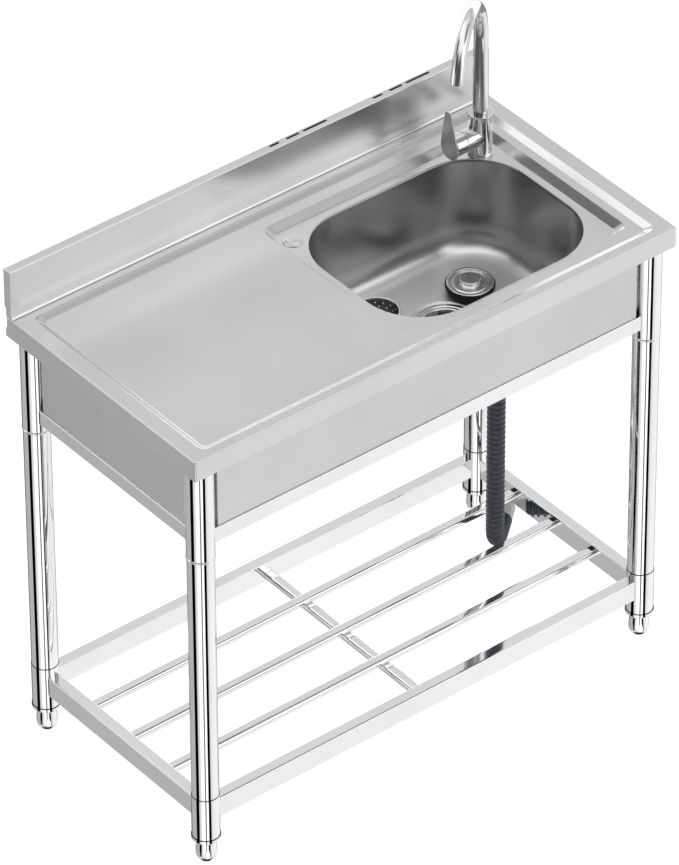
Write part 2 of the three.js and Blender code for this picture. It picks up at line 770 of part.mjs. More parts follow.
// Faucet heights below are measured from the ledge.
function makeFaucetBody() {
  const r = faucetRadius;
  const lipFoot = faucetHeight - faucetLipHeight;
  const column = turned([
    [0, -shankLength], [shankRadius, -shankLength], [shankRadius, gap], [r + faucetBase, gap],
    [r + faucetBase, faucetBaseHeight - 1], [r + 0.4, faucetBaseHeight], [r, faucetBaseHeight + 1],
    [r, lipFoot], [r + faucetLip, lipFoot + 1], [r + faucetLip, faucetHeight - 1.2],
    [r, faucetHeight], [0, faucetHeight],
  ], broadSteps);
  const housing = alongLever(rod(housingRadius, 0, housingReach, 24));
  const stemRoom = rod(spoutStemRadius + gap, faucetHeight - spoutStemLength - gap, faucetHeight + 1);
  const shaftRoom = alongLever(rod(hubShaftRadius + gap, housingReach - hubShaftLength - gap,
    housingReach + 1));
  const inlet = rod(shankRadius - 4, -shankLength - 1, -shankLength + 30);
  return cut(join(column, housing), stemRoom, shaftRoom, inlet);
}

function makeFaucetGasket() {
  const top = -sheet - gap;
  return pipe(faucetNutRadius - 0.5, shankRadius + gap, top - faucetGasketHeight, top);
}

function makeFaucetNut() {
  const top = -sheet - 2 * gap - faucetGasketHeight;
  const nut = new THREE.CylinderGeometry(faucetNutRadius, faucetNutRadius, faucetNutHeight, 6);
  nut.rotateX(Math.PI / 2).translate(0, 0, top - faucetNutHeight / 2);
  return cut(nut, rod(shankRadius + gap, top - faucetNutHeight - 1, top + 1));
}

// The path of the spout in its own upright plane: out is the distance from the faucet axis.
function spoutPath() {
  const foot = faucetHeight + gap;
  const bendSteps = 14;
  const path = [
    { out: 0, z: foot, heading: 0 },
    { out: 0, z: foot + spoutRise * 0.5, heading: 0 },
  ];
  for (let i = 0; i <= bendSteps; i += 1) {
    const angle = (i / bendSteps) * spoutSweep;
    path.push({
      out: spoutBend * (1 - Math.cos(angle)),
      z: foot + spoutRise + spoutBend * Math.sin(angle),
      heading: angle,
    });
  }
  const last = path[path.length - 1];
  path.push({
    out: last.out + spoutTail * Math.sin(spoutSweep),
    z: last.z + spoutTail * Math.cos(spoutSweep),
    heading: spoutSweep,
  });
  return path;
}

function spoutRing(stop, radius, sides = spoutSides) {
  const across = new THREE.Vector3(0, 1, 0);
  const inPlane = new THREE.Vector3(-Math.cos(stop.heading), 0, -Math.sin(stop.heading));
  return Array.from({ length: sides }, (_, i) => {
    const angle = (i / sides) * Math.PI * 2;
    const point = new THREE.Vector3(-stop.out, 0, stop.z);
    point.addScaledVector(across, radius * Math.cos(angle));
    return point.addScaledVector(inPlane, radius * Math.sin(angle));
  });
}

function makeSpout() {
  const path = spoutPath();
  const foot = path[0];
  const stemFoot = { out: 0, z: foot.z - spoutStemLength, heading: 0 };
  const lengths = path.map((stop, i) => {
    return i === 0 ? 0 : Math.hypot(stop.out - path[i - 1].out, stop.z - path[i - 1].z);
  });
  const total = lengths.reduce((sum, step) => sum + step, 0);
  let run = 0;
  const radii = lengths.map((step) => {
    run += step;
    return spoutFoot + (spoutTip - spoutFoot) * (run / total);
  });
  const outside = path.map((stop, i) => spoutRing(stop, radii[i]));
  const boreRings = path.map((stop, i) => spoutRing(stop, radii[i] - spoutWall)).reverse();
  boreRings.pop();
  const boreFoot = { out: 0, z: foot.z + 6, heading: 0 };
  return skin([
    spoutRing(stemFoot, spoutStemRadius),
    spoutRing(foot, spoutStemRadius),
    ...outside,
    ...boreRings,
    spoutRing(boreFoot, radii[0] - spoutWall),
    spoutRing({ ...boreFoot, z: foot.z + 2 }, spoutStemBore),
    spoutRing(stemFoot, spoutStemBore),
  ]);
}

function makeAerator() {
  const path = spoutPath();
  const tip = path[path.length - 1];
  const outer = spoutTip - spoutWall - gap;
  const insert = turned([
    [0, -aeratorLength], [outer, -aeratorLength], [outer, gap], [outer + 1, gap + 0.4],
    [outer + 1, aeratorShow], [outer - aeratorWall, aeratorShow], [outer - aeratorWall, aeratorShow - 2],
    [0, aeratorShow - 2],
  ]);
  return insert.rotateY(-tip.heading).translate(-tip.out, 0, tip.z);
}

function makeLeverHub() {
  const body = alongLever(turned([
    [0, housingReach - hubShaftLength], [hubShaftRadius, housingReach - hubShaftLength],
    [hubShaftRadius, housingReach + gap], [housingRadius - 0.6, housingReach + gap],
    [housingRadius, housingReach + gap + 0.6], [housingRadius, -hubFace - hubChamfer],
    [housingRadius - hubChamfer, -hubFace], [0, -hubFace],
  ]));
  const slotHalf = tongueHalfWidth + gap;
  const sweep = Math.hypot(tongueLength, tongueHalfHeight) + gap;
  const slot = box(hubFace - 1, pinX + sweep, -slotHalf, slotHalf, leverZ - housingRadius - 1, pinZ + sweep);
  const pinHole = rod(leverPinRadius + gap, -housingRadius, housingRadius, 16);
  return cut(body, slot, pinHole.rotateX(Math.PI / 2).translate(pinX, 0, pinZ));
}

// A flat blade whose broad lower part tapers to a rounded tip, with a hinge tongue behind it.
function makeLever() {
  const shape = new THREE.Shape();
  const tipCentre = leverAbove - leverTipHalfWidth;
  const tipSide = leverTipHalfWidth * Math.cos(leverTaper);
  const tipStart = tipCentre + leverTipHalfWidth * Math.sin(leverTaper);
  const narrow = leverTipHalfWidth + 0.27 * (leverHalfWidth - leverTipHalfWidth);
  shape.moveTo(0, -leverBelow);
  shape.bezierCurveTo(leverHalfWidth * 0.75, -leverBelow, leverHalfWidth, -leverBelow * 0.55,
    leverHalfWidth, 0);
  shape.bezierCurveTo(leverHalfWidth, leverAbove * 0.13, narrow, leverAbove * 0.62, tipSide, tipStart);
  shape.absarc(0, tipCentre, leverTipHalfWidth, leverTaper, Math.PI - leverTaper, false);
  shape.bezierCurveTo(-narrow, leverAbove * 0.62, -leverHalfWidth, leverAbove * 0.13, -leverHalfWidth, 0);
  shape.bezierCurveTo(-leverHalfWidth, -leverBelow * 0.55, -leverHalfWidth * 0.75, -leverBelow,
    0, -leverBelow);
  const blade = new THREE.ExtrudeGeometry(shape, {
    depth: leverThickness, bevelEnabled: false, curveSegments: 8,
  });
  // The outline's x becomes y, its y becomes z, and the thickness runs along -X.
  const lay = new THREE.Matrix4().set(0, 0, -1, 0, 1, 0, 0, 0, 0, 1, 0, 0, 0, 0, 0, 1);
  blade.applyMatrix4(lay).rotateX(-leverLean).translate(hubFace - gap, 0, leverZ);
  const tongue = box(hubFace - gap - 0.5, pinX + tongueHalfWidth, -tongueHalfWidth, tongueHalfWidth,
    pinZ - tongueHalfHeight + 2, pinZ + tongueHalfHeight);
  const eye = rod(leverPinRadius + gap, -tongueHalfWidth - 1, tongueHalfWidth + 1, 16);
  return cut(join(blade, tongue), eye.rotateX(Math.PI / 2).translate(pinX, 0, pinZ));
}

function makeLeverPin() {
  const half = Math.sqrt(housingRadius ** 2 - leverPinDrop ** 2) - gap;
  return rod(leverPinRadius, -half, half, 16).rotateX(Math.PI / 2).translate(pinX, 0, pinZ);
}

// ---------------------------------------------------------------- hole cap
function makeHoleCap() {
  const seat = gap;
  return turned([
    [0, -capSpigotLength], [capSpigotRadius, -capSpigotLength], [capSpigotRadius, seat],
    [capRadius - 0.5, seat], [capRadius, seat + 0.5], [capRadius - 0.8, seat + capEdge],
    [capStepRadius + 0.8, seat + capEdge], [capStepRadius, seat + capEdge + 0.5],
    [capStepRadius - 0.6, seat + capEdge + capStep], [0, seat + capEdge + capStep],
  ]);
}

function makeHoleCapNut() {
  const top = -sheet - gap;
  const nut = new THREE.CylinderGeometry(capNutRadius, capNutRadius, capNutHeight, 6);
  nut.rotateX(Math.PI / 2).translate(0, 0, top - capNutHeight / 2);
  return cut(nut, rod(capSpigotRadius + gap, top - capNutHeight - 1, top + 1));
}

// ---------------------------------------------------------------- legs
const sleeveBore = socketRadius - tubeWall;
const spigotRadius = sleeveBore - gap;
const sleeveBottom = footHeight + collarHeight + gap;

// A plain sleeve over the drawn-in end of the main tube.
function makeSleeve(bottom, top) {
  return turned([
    [sleeveBore, bottom], [socketRadius, bottom], [socketRadius, top], [sleeveBore, top],
  ]);
}

// The main tube: both ends are drawn in to plug into the socket above and the sleeve below.
function makeLegTube() {
  const inner = spigotRadius - tubeWall;
  const low = sleeveTop + gap;
  const high = socketBottom - gap;
  return turned([
    [inner, low - spigotLength], [spigotRadius, low - spigotLength], [spigotRadius, low],
    [legRadius, low], [legRadius, high],
    [spigotRadius, high], [spigotRadius, high + spigotLength], [inner, high + spigotLength],
  ]);
}

function makeCollar() {
  const top = footHeight + collarHeight;
  return turned([
    [stemRadius + gap, footHeight], [collarRadius - 2.6, footHeight], [collarRadius, footHeight + 3],
    [collarRadius, top],
    [spigotRadius, top], [spigotRadius, top + collarSpigot], [stemRadius + gap, top + collarSpigot],
  ]);
}

// The levelling foot: a bullet with six wrench flats and a threaded stem up into the collar.
function makeFoot() {
  const top = footHeight - gap;
  const bullet = turned([
    [0, 0], [footSoleRadius - 1.5, 0], [footSoleRadius, 1.5], [footWaist - 1.2, footWaistHeight - 8],
    [footWaist, footWaistHeight], [footTopRadius + 0.6, footWaistHeight + 10], [footTopRadius, top],
    [stemRadius, top], [stemRadius, top + stemLength], [0, top + stemLength],
  ]);
  const across = footFlats / Math.sqrt(3);
  const hexagon = new THREE.CylinderGeometry(across, across, 4 * (top + stemLength), 6);
  return overlapOf(bullet, hexagon.rotateX(Math.PI / 2));
}

// ---------------------------------------------------------------- rails, aprons and shelf
// A rail between two legs, coped to the round tubes, along X.
function makeRail(spacing, railWidth, railHeight) {
  const tube = sectionTube(spacing, railWidth, railHeight, railWall, railCorner, 1);
  const copes = [-spacing / 2, spacing / 2].map((x) => {
    return rod(copeRadius, -railHeight, railHeight).translate(x, 0, 0);
  });
  return cut(tube, ...copes);
}

// A pressed panel with turned-in edges, standing on the rail and facing -Y.
function makeApron(spacing, outerY, bottom, top) {
  const half = spacing / 2 - socketRadius - apronFromLeg;
  const pan = box(-half, half, -outerY, -outerY + apronFlange, bottom, top);
  const room = box(-half + apronSheet, half - apronSheet, -outerY + apronSheet,
    -outerY + apronFlange + 1, bottom + apronSheet, top - apronSheet);
  return cut(pan, room);
}

function makeBar(length) {
  return sectionTube(length, barWidth, barHeight, railWall, barCorner, 2);
}

// ---------------------------------------------------------------- assembly
addTo(unit, 'worktop', makeWorktop(), 'brushedSteel');
addTo(unit, 'backsplash', makeBacksplash(), 'brushedSteel');
addTo(unit, 'bowl', makeBowl(), 'satinBowl');

const drainGroup = subGroup(unit, bowlX, bowlY, 0);
addTo(drainGroup, 'drain_flange', makeDrainFlange(), 'brushedSteel');
addTo(drainGroup, 'drain_gasket',
  pipe(gasketRadius, threadRadius, gasketTop - gasketThickness, gasketTop, broadSteps), 'blackRubber');
addTo(drainGroup, 'drain_nut', makeDrainNut(), 'whitePlastic');
addTo(drainGroup, 'drain_body', makeDrainBody(), 'whitePlastic');
addTo(drainGroup, 'hose_nut', makeHoseNut(), 'whitePlastic');
addTo(unit, 'drain_hose', makeHose(), 'darkPlastic');
addTo(unit, 'hose_cuff', makeCuff(), 'whitePlastic');

const stopperGroup = subGroup(unit, bowlX + stopperX, bowlY + stopperY, 0);
addTo(stopperGroup, 'stopper_seal', makeStopperSeal(), 'blackRubber');
addTo(stopperGroup, 'stopper_plate', makeStopperPlate(), 'brightTube');
const basketGroup = subGroup(unit, bowlX + basketX, bowlY + basketY, 0);
addTo(basketGroup, 'strainer_basket', makeBasket(), 'brushedSteel');

const faucetGroup = subGroup(unit, faucetSpot.x, faucetSpot.y, ledgeTop);
addTo(faucetGroup, 'faucet_body', makeFaucetBody(), 'faucetNickel');
addTo(faucetGroup, 'faucet_gasket', makeFaucetGasket(), 'blackRubber');
addTo(faucetGroup, 'faucet_nut', makeFaucetNut(), 'faucetNickel');
addTo(faucetGroup, 'lever_hub', makeLeverHub(), 'faucetNickel');
addTo(faucetGroup, 'lever_blade', makeLever(), 'faucetNickel');
addTo(faucetGroup, 'lever_pin', makeLeverPin(), 'brightTube');
const spoutGroup = subGroup(faucetGroup, 0, 0, 0);
spoutGroup.rotation.z = spoutPoint;
addTo(spoutGroup, 'faucet_spout', makeSpout(), 'faucetNickel');
addTo(spoutGroup, 'aerator', makeAerator(), 'faucetNickel');

const capGroup = subGroup(unit, capSpot.x, capSpot.y, ledgeTop);
addTo(capGroup, 'hole_cap', makeHoleCap(), 'brightTube');
addTo(capGroup, 'hole_cap_nut', makeHoleCapNut(), 'darkPlastic');

const corners = { fl: [-1, -1], fr: [1, -1], rl: [-1, 1], rr: [1, 1] };
for (const [corner, [sideX, sideY]] of Object.entries(corners)) {
  const leg = subGroup(unit, sideX * legX, sideY * legY, 0);
  addTo(leg, `leg_socket_${corner}`, makeSleeve(socketBottom, legTop), 'brightTube');
  addTo(leg, `leg_tube_${corner}`, makeLegTube(), 'brightTube');
  addTo(leg, `leg_sleeve_${corner}`, makeSleeve(sleeveBottom, sleeveTop), 'brightTube');
  addTo(leg, `leg_collar_${corner}`, makeCollar(), 'brightTube');
  addTo(leg, `foot_${corner}`, makeFoot(), 'brightTube');
}

// The four sides: how far each turns from facing -Y, the leg spacing along it, and its leg line.
const sides = {
  front: [0, 2 * legX, legY],
  right: [Math.PI / 2, 2 * legY, legX],
  rear: [Math.PI, 2 * legX, legY],
  left: [-Math.PI / 2, 2 * legY, legX],
};
for (const [side, [turn, spacing, line]] of Object.entries(sides)) {
  const group = subGroup(unit, 0, 0, 0);
  group.rotation.z = turn;
  const upper = subGroup(group, 0, -line, upperRailTop - upperRailHeight / 2);
  addTo(upper, `upper_rail_${side}`, makeRail(spacing, upperRailWidth, upperRailHeight), 'brightTube');
  const lower = subGroup(group, 0, -line, shelfRailTop - shelfRailHeight / 2);
  addTo(lower, `shelf_rail_${side}`, makeRail(spacing, shelfRailWidth, shelfRailHeight), 'brightTube');
  const apronFace = line + upperRailWidth / 2 - apronSetBack;
  addTo(group, `apron_${side}`, makeApron(spacing, apronFace, upperRailTop + gap, legTop), 'brushedSteel');
}

const barLength = 2 * legX - shelfRailWidth - 2 * gap;
const barZ = barTop - barHeight / 2;
const barNames = ['front', 'middle', 'rear'];
for (let i = 0; i < barCount; i += 1) {
  const group = subGroup(unit, 0, (i - (barCount - 1) / 2) * barSpacing, barZ);
  addTo(group, `shelf_bar_${barNames[i]}`, makeBar(barLength), 'brightTube');
}
const crossBar = subGroup(unit, 0, 0, barZ - barHeight - gap);
crossBar.rotation.z = Math.PI / 2;
addTo(crossBar, 'shelf_cross_bar', makeBar(2 * legY - shelfRailWidth - 2 * gap), 'brightTube');

export default unit;
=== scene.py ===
# %% [markdown]
# # Kitchen sink unit
# A pressed stainless steel worktop with a drainboard, a drawn bowl and a swivel faucet, standing on bright
# round legs with a rail shelf. The frame holds every piece at its real size and carries the joints, so it
# is loaded first and never moved. Each cell after it makes one piece or one finish on top of that frame.

# %% Load the fixed frame
import math

import bmesh
import bpy
import numpy as np
from mathutils import Matrix, Vector


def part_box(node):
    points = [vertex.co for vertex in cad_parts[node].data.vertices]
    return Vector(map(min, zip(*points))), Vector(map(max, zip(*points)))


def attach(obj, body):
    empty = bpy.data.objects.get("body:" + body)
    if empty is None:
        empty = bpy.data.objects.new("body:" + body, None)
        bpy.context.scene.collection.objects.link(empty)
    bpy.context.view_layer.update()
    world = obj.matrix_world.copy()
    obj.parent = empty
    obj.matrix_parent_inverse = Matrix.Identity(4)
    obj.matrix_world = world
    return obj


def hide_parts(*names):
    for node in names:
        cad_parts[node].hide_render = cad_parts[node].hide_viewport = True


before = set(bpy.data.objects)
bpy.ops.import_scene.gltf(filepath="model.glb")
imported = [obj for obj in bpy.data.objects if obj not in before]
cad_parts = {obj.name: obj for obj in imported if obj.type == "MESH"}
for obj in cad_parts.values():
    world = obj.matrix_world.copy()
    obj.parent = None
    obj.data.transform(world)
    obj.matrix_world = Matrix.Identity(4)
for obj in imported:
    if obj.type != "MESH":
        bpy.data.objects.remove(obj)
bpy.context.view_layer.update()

MM = 0.001

# %% [markdown]
# ## Camera
# The photograph is a long-lens view from the front left and above: lines that are parallel on the unit stay
# nearly parallel in the picture. A camera could be aimed by eye, but the corners of the worktop, rails and
# legs fix it better, so its place, direction and focal length are the ones that put those corners right.

# %% Camera at the photograph's viewpoint
PHOTO_WIDTH, PHOTO_HEIGHT = 679, 865
SENSOR = 36
FOCAL_PIXELS = 7733.95
AXIS_PIXEL = (366.05, 434.31)
CAMERA_PLACE = Vector((-6.29934, -7.89365, 8.34912))
CAMERA_YAW, CAMERA_PITCH, CAMERA_ROLL = -0.677132, -0.659445, -0.002604


def aim(yaw, pitch, roll):
    forward = Vector((-math.sin(yaw) * math.cos(pitch), math.cos(yaw) * math.cos(pitch), math.sin(pitch)))
    right = forward.cross(Vector((0, 0, 1))).normalized()
    up = right.cross(forward)
    turned_right = math.cos(roll) * right + math.sin(roll) * up
    turned_up = -math.sin(roll) * right + math.cos(roll) * up
    return Matrix((turned_right, turned_up, -forward)).transposed().to_4x4()


camera_data = bpy.data.cameras.new("photo_camera")
camera_data.sensor_width = SENSOR
camera_data.lens = SENSOR * FOCAL_PIXELS / PHOTO_HEIGHT
camera_data.shift_x = (PHOTO_WIDTH / 2 - AXIS_PIXEL[0]) / PHOTO_HEIGHT
camera_data.shift_y = (AXIS_PIXEL[1] - PHOTO_HEIGHT / 2) / PHOTO_HEIGHT
camera = bpy.data.objects.new("photo_camera", camera_data)
bpy.context.collection.objects.link(camera)
camera.matrix_world = Matrix.Translation(CAMERA_PLACE) @ aim(CAMERA_YAW, CAMERA_PITCH, CAMERA_ROLL)
bpy.context.scene.camera = camera
print(f"camera: {camera_data.lens:.1f} mm lens, {CAMERA_PLACE.length:.2f} m from the origin")

# %% [markdown]
# ## Node helpers
# Materials, the world and the geometry trees are all node trees. One helper adds a node with its settings
# and its links, one turns a hex colour into the linear colour that Blender renders, and two more open a
# geometry tree with named sizes and run it into a plain mesh.

# %% Node, colour and geometry-tree helpers
def add_node(tree, kind, inputs=None, **settings):
    node = tree.nodes.new(kind)
    for name, value in settings.items():
        setattr(node, name, value)
    for name, value in (inputs or {}).items():
        if isinstance(value, bpy.types.NodeSocket):
            tree.links.new(value, node.inputs[name])
        else:
            node.inputs[name].default_value = value
    return node


def linear(hex_colour):
    parts = [int(hex_colour[i:i + 2], 16) / 255 for i in (1, 3, 5)]
    return [c / 12.92 if c <= 0.04045 else ((c + 0.055) / 1.055) ** 2.4 for c in parts] + [1.0]


def open_tree(name, sizes):
    """A geometry tree with a geometry input, a float input for each name in sizes, and a material input."""
    tree = bpy.data.node_groups.new(name, "GeometryNodeTree")
    tree.interface.new_socket("Geometry", in_out="INPUT", socket_type="NodeSocketGeometry")
    for label in sizes:
        tree.interface.new_socket(label, in_out="INPUT", socket_type="NodeSocketFloat")
    tree.interface.new_socket("Finish", in_out="INPUT", socket_type="NodeSocketMaterial")
    tree.interface.new_socket("Geometry", in_out="OUTPUT", socket_type="NodeSocketGeometry")
    return tree, add_node(tree, "NodeGroupInput").outputs


def close_tree(tree, geometry, finish):
    real = add_node(tree, "GeometryNodeRealizeInstances", {"Geometry": geometry})
    painted = add_node(tree, "GeometryNodeSetMaterial", {"Geometry": real.outputs[0], "Material": finish})
    add_node(tree, "NodeGroupOutput", {"Geometry": painted.outputs[0]})


def run_tree(name, source, tree, finish, sizes):
    """Runs the tree on the source object and returns what it makes as a plain mesh object."""
    modifier = source.modifiers.new(tree.name, "NODES")
    modifier.node_group = tree
    for item in tree.interface.items_tree:
        if item.in_out == "INPUT" and item.name in sizes:
            modifier[item.identifier] = float(sizes[item.name])
        elif item.in_out == "INPUT" and item.name == "Finish":
            modifier[item.identifier] = finish
    mesh = bpy.data.meshes.new_from_object(source.evaluated_get(bpy.context.evaluated_depsgraph_get()))
    source.modifiers.clear()
    bpy.data.objects.remove(source)
    made = bpy.data.objects.new(name, mesh)
    bpy.context.collection.objects.link(made)
    return made


print("sRGB #808080 is linear", round(linear("#808080")[0], 3))

# %% [markdown]
# ## Finishes
# Nearly everything here is austenitic stainless steel, and what tells the pieces apart is how its surface
# was worked. The sheet is satin ground with a belt, which leaves fine lines along its length. The bowl was
# drawn, then polished round, so its lines are softer. The tubes are buffed to a mirror. A metal's colour is
# its reflectance, and its roughness and a shallow bump carry the grinding lines. Real belt lines are about
# 0.1 mm wide, too fine to show here, so they are drawn several times as coarse. Some light and shade is
# painted into the colours. The bowl's walls get darker greys than the sheet, a painted shade, and by height
# its floor is painted lighter than its walls, a painted sheen, and is made duller too. The basket's rim is
# painted lighter than its mesh, a painted highlight, and a thin dark ring is painted at each joint of a leg,
# a painted shadow. On the real unit they come from reflections and narrow shadow gaps.

# %% Ground and polished steel
def new_material(name, settings):
    material = bpy.data.materials.new(name)
    material.use_nodes = True
    tree = material.node_tree
    shader = tree.nodes["Principled BSDF"]
    for label, value in settings.items():
        shader.inputs[label].default_value = value
    return material, tree, shader


def grain(tree, along, width_mm, length_mm):
    """Noise drawn out along one axis of the object, as a grinding belt or a buffing wheel leaves it."""
    place = add_node(tree, "ShaderNodeTexCoord").outputs["Object"]
    scale = [1 / (width_mm * MM)] * 3
    scale["XYZ".index(along)] = 1 / (length_mm * MM)
    drawn = add_node(tree, "ShaderNodeMapping", {"Vector": place, "Scale": scale})
    inputs = {"Vector": drawn.outputs[0], "Scale": 1.0, "Detail": 3.0, "Roughness": 0.6}
    return add_node(tree, "ShaderNodeTexNoise", inputs).outputs["Fac"]


def clouds(tree, size_mm):
    """Soft noise of the given size."""
    place = add_node(tree, "ShaderNodeTexCoord").outputs["Object"]
    inputs = {"Vector": place, "Scale": 1 / (size_mm * MM), "Detail": 2.0, "Roughness": 0.5}
    return add_node(tree, "ShaderNodeTexNoise", inputs).outputs["Fac"]


def between(tree, value, low, high, low_from=0.3, high_from=0.7):
    """Goes evenly from low to high while the value goes over its own span, and stays at its ends."""
    inputs = {"Value": value, "From Min": low_from, "From Max": high_from, "To Min": low, "To Max": high}
    return add_node(tree, "ShaderNodeMapRange", inputs).outputs["Result"]


def worked_steel(name, dark, light, along, line_mm, run_mm, wave_mm, depth_mm, smooth=None, rough=None):
    """Steel whose colour drifts between two greys, with grinding lines in its bump and roughness."""
    material, tree, shader = new_material(name, {"Metallic": 1.0})
    lines = grain(tree, along, line_mm, run_mm)
    drift = clouds(tree, wave_mm)
    colours = {"Factor": between(tree, drift, 0, 1), 6: linear(dark), 7: linear(light)}
    shade = add_node(tree, "ShaderNodeMix", colours, data_type="RGBA")
    tree.links.new(shade.outputs[2], shader.inputs["Base Color"])
    if rough is not None:
        tree.links.new(between(tree, lines, smooth, rough), shader.inputs["Roughness"])
    bump = {"Height": lines, "Strength": 1.0, "Distance": depth_mm * MM}
    tree.links.new(add_node(tree, "ShaderNodeBump", bump).outputs[0], shader.inputs["Normal"])
    return material


def height_in(tree):
    """The height above the floor, in metres, because every piece's mesh keeps its place."""
    place = add_node(tree, "ShaderNodeTexCoord").outputs["Object"]
    return add_node(tree, "ShaderNodeSeparateXYZ", {0: place}).outputs["Z"]


def mix_in(material, weight, hex_colour):
    """Mixes one more colour over what the material's base colour is so far."""
    tree = material.node_tree
    colour = tree.nodes["Principled BSDF"].inputs["Base Color"]
    inputs = {"Factor": weight, 6: colour.links[0].from_socket, 7: linear(hex_colour)}
    tree.links.new(add_node(tree, "ShaderNodeMix", inputs, data_type="RGBA").outputs[2], colour)


BELT = {"line_mm": 1.6, "run_mm": 160, "wave_mm": 260}
BUFF = {"line_mm": 3.0, "run_mm": 300, "wave_mm": 200}
LATHE = {"line_mm": 1.5, "run_mm": 12, "wave_mm": 30, "depth_mm": 0.001}
satin_sheet = worked_steel("satin_ground_stainless_sheet", "#dcdcdc", "#e5e5e5", "X",
                           smooth=0.235, rough=0.265, depth_mm=0.0004, **BELT)
satin_side = worked_steel("satin_ground_stainless_sheet_cross", "#dadada", "#e2e2e2", "Y",
                          smooth=0.235, rough=0.265, depth_mm=0.0006, **BELT)
satin_apron = worked_steel("satin_ground_stainless_apron", "#d6d6d6", "#dedede", "X",
                           smooth=0.265, rough=0.295, depth_mm=0.0006, **BELT)
mirror_leg = worked_steel("mirror_buffed_stainless_tube", "#f2f2f2", "#f8f8f8", "Z",
                          smooth=0.01, rough=0.02, depth_mm=0.0002, **BUFF)
mirror_rail = worked_steel("mirror_buffed_stainless_rail", "#eeeeee", "#f6f6f6", "X",
                           smooth=0.04, rough=0.08, depth_mm=0.001, **BUFF)
mirror_cross = worked_steel("mirror_buffed_stainless_cross_rail", "#eeeeee", "#f5f5f5", "Y",
                            smooth=0.04, rough=0.08, depth_mm=0.001, **BUFF)
drain_steel = worked_steel("spun_stainless_drain", "#d6d6d6", "#e2e2e2", "X",
                           smooth=0.12, rough=0.18, **LATHE)
plate_steel = worked_steel("spun_stainless_stopper_plate", "#f6f6f6", "#fdfdfd", "X",
                           smooth=0.22, rough=0.28, **LATHE)
basket_steel = worked_steel("perforated_stainless_basket", "#9b9b9b", "#ababab", "Z",
                            smooth=0.2, rough=0.28, **LATHE)
faucet_steel = worked_steel("polished_stainless_faucet", "#e0e0e0", "#eaeaea", "Z",
                            line_mm=2.0, run_mm=60, smooth=0.03, rough=0.06, depth_mm=0.0002, wave_mm=60)
lever_steel = worked_steel("brushed_stainless_lever", "#cfcfcf", "#dcdcdc", "Z",
                           line_mm=0.8, run_mm=40, smooth=0.4, rough=0.5, depth_mm=0.006, wave_mm=30)
# The bowl's greys are darker than the sheet's: painted shade on its walls, not a different steel.
bowl_steel_painted_shade_and_sheen = worked_steel("drawn_and_polished_stainless_bowl", "#a9a9a9", "#b8b8b8", "Z",
                          line_mm=6.0, run_mm=90, depth_mm=0.0015, wave_mm=90)
print("steel finishes:", len([m for m in bpy.data.materials if "stainless" in m.name]))

# %% Painted light by height: a sheen on the bowl's floor and the basket's rim, shadow rings at the legs' joints
# Pairs are heights above the floor in metres. The bowl's roughness is set by them, without its lines.
FLOOR_TO_FILLET, FILLET_TO_WALL = (0.6603, 0.666), (0.69, 0.72)
PAINTED_SHEEN_FLOOR, PAINTED_RIM_HIGHLIGHT = (0.668, 0.715), (0.6955, 0.6965)
FLOOR_HAZE, FILLET_HAZE, WALL_CLEARS = 0.52, 0.33, 0.08
bowl_tree = bowl_steel_painted_shade_and_sheen.node_tree
bowl_height = height_in(bowl_tree)
floor_haze = between(bowl_tree, bowl_height, FLOOR_HAZE, FILLET_HAZE, *FLOOR_TO_FILLET)
wall_haze = between(bowl_tree, bowl_height, 0, -WALL_CLEARS, *FILLET_TO_WALL)
bowl_haze = add_node(bowl_tree, "ShaderNodeMath", {0: floor_haze, 1: wall_haze}, operation="ADD")
bowl_tree.links.new(bowl_haze.outputs[0], bowl_tree.nodes["Principled BSDF"].inputs["Roughness"])
# Painted sheen: the base colour turns to a lighter grey towards the bowl's floor and fillet.
mix_in(bowl_steel_painted_shade_and_sheen, between(bowl_tree, bowl_height, 1, 0, *PAINTED_SHEEN_FLOOR), "#eeeeee")
# Painted highlight: a thin band at the basket's rim is painted near-white over the mesh's darker grey.
basket_tree = basket_steel.node_tree
mix_in(basket_steel, between(basket_tree, height_in(basket_tree), 0, 1, *PAINTED_RIM_HIGHLIGHT), "#f4f4f4")
# Painted shadow: at each joint height a thin dark ring is painted round the leg, where a narrow gap between
# parts would hold shade.
LEG_JOINTS, SHADOW_RING_CORE, SHADOW_RING_EDGE = (0.1383, 0.0532), 0.0006, 0.0011
leg_tree = mirror_leg.node_tree
for joint in LEG_JOINTS:
    away = add_node(leg_tree, "ShaderNodeMath", {0: height_in(leg_tree), 1: joint}, operation="SUBTRACT")
    apart = add_node(leg_tree, "ShaderNodeMath", {0: away.outputs[0]}, operation="ABSOLUTE")
    mix_in(mirror_leg, between(leg_tree, apart.outputs[0], 1, 0, SHADOW_RING_CORE, SHADOW_RING_EDGE), "#2c2c2c")
print("dark rings on the legs at", LEG_JOINTS, "m")

# %% [markdown]
# The plumbing is plastic: a grey blow-moulded polypropylene hose, pale injection-moulded polypropylene
# fittings and black nitrile rubber seals. Moulded plastic is never one flat colour. The real hose scatters
# light in its wall and gathers dust in its grooves; here each plastic only drifts at random between two
# tones, and the fittings carry the fine orange peel of the mould.

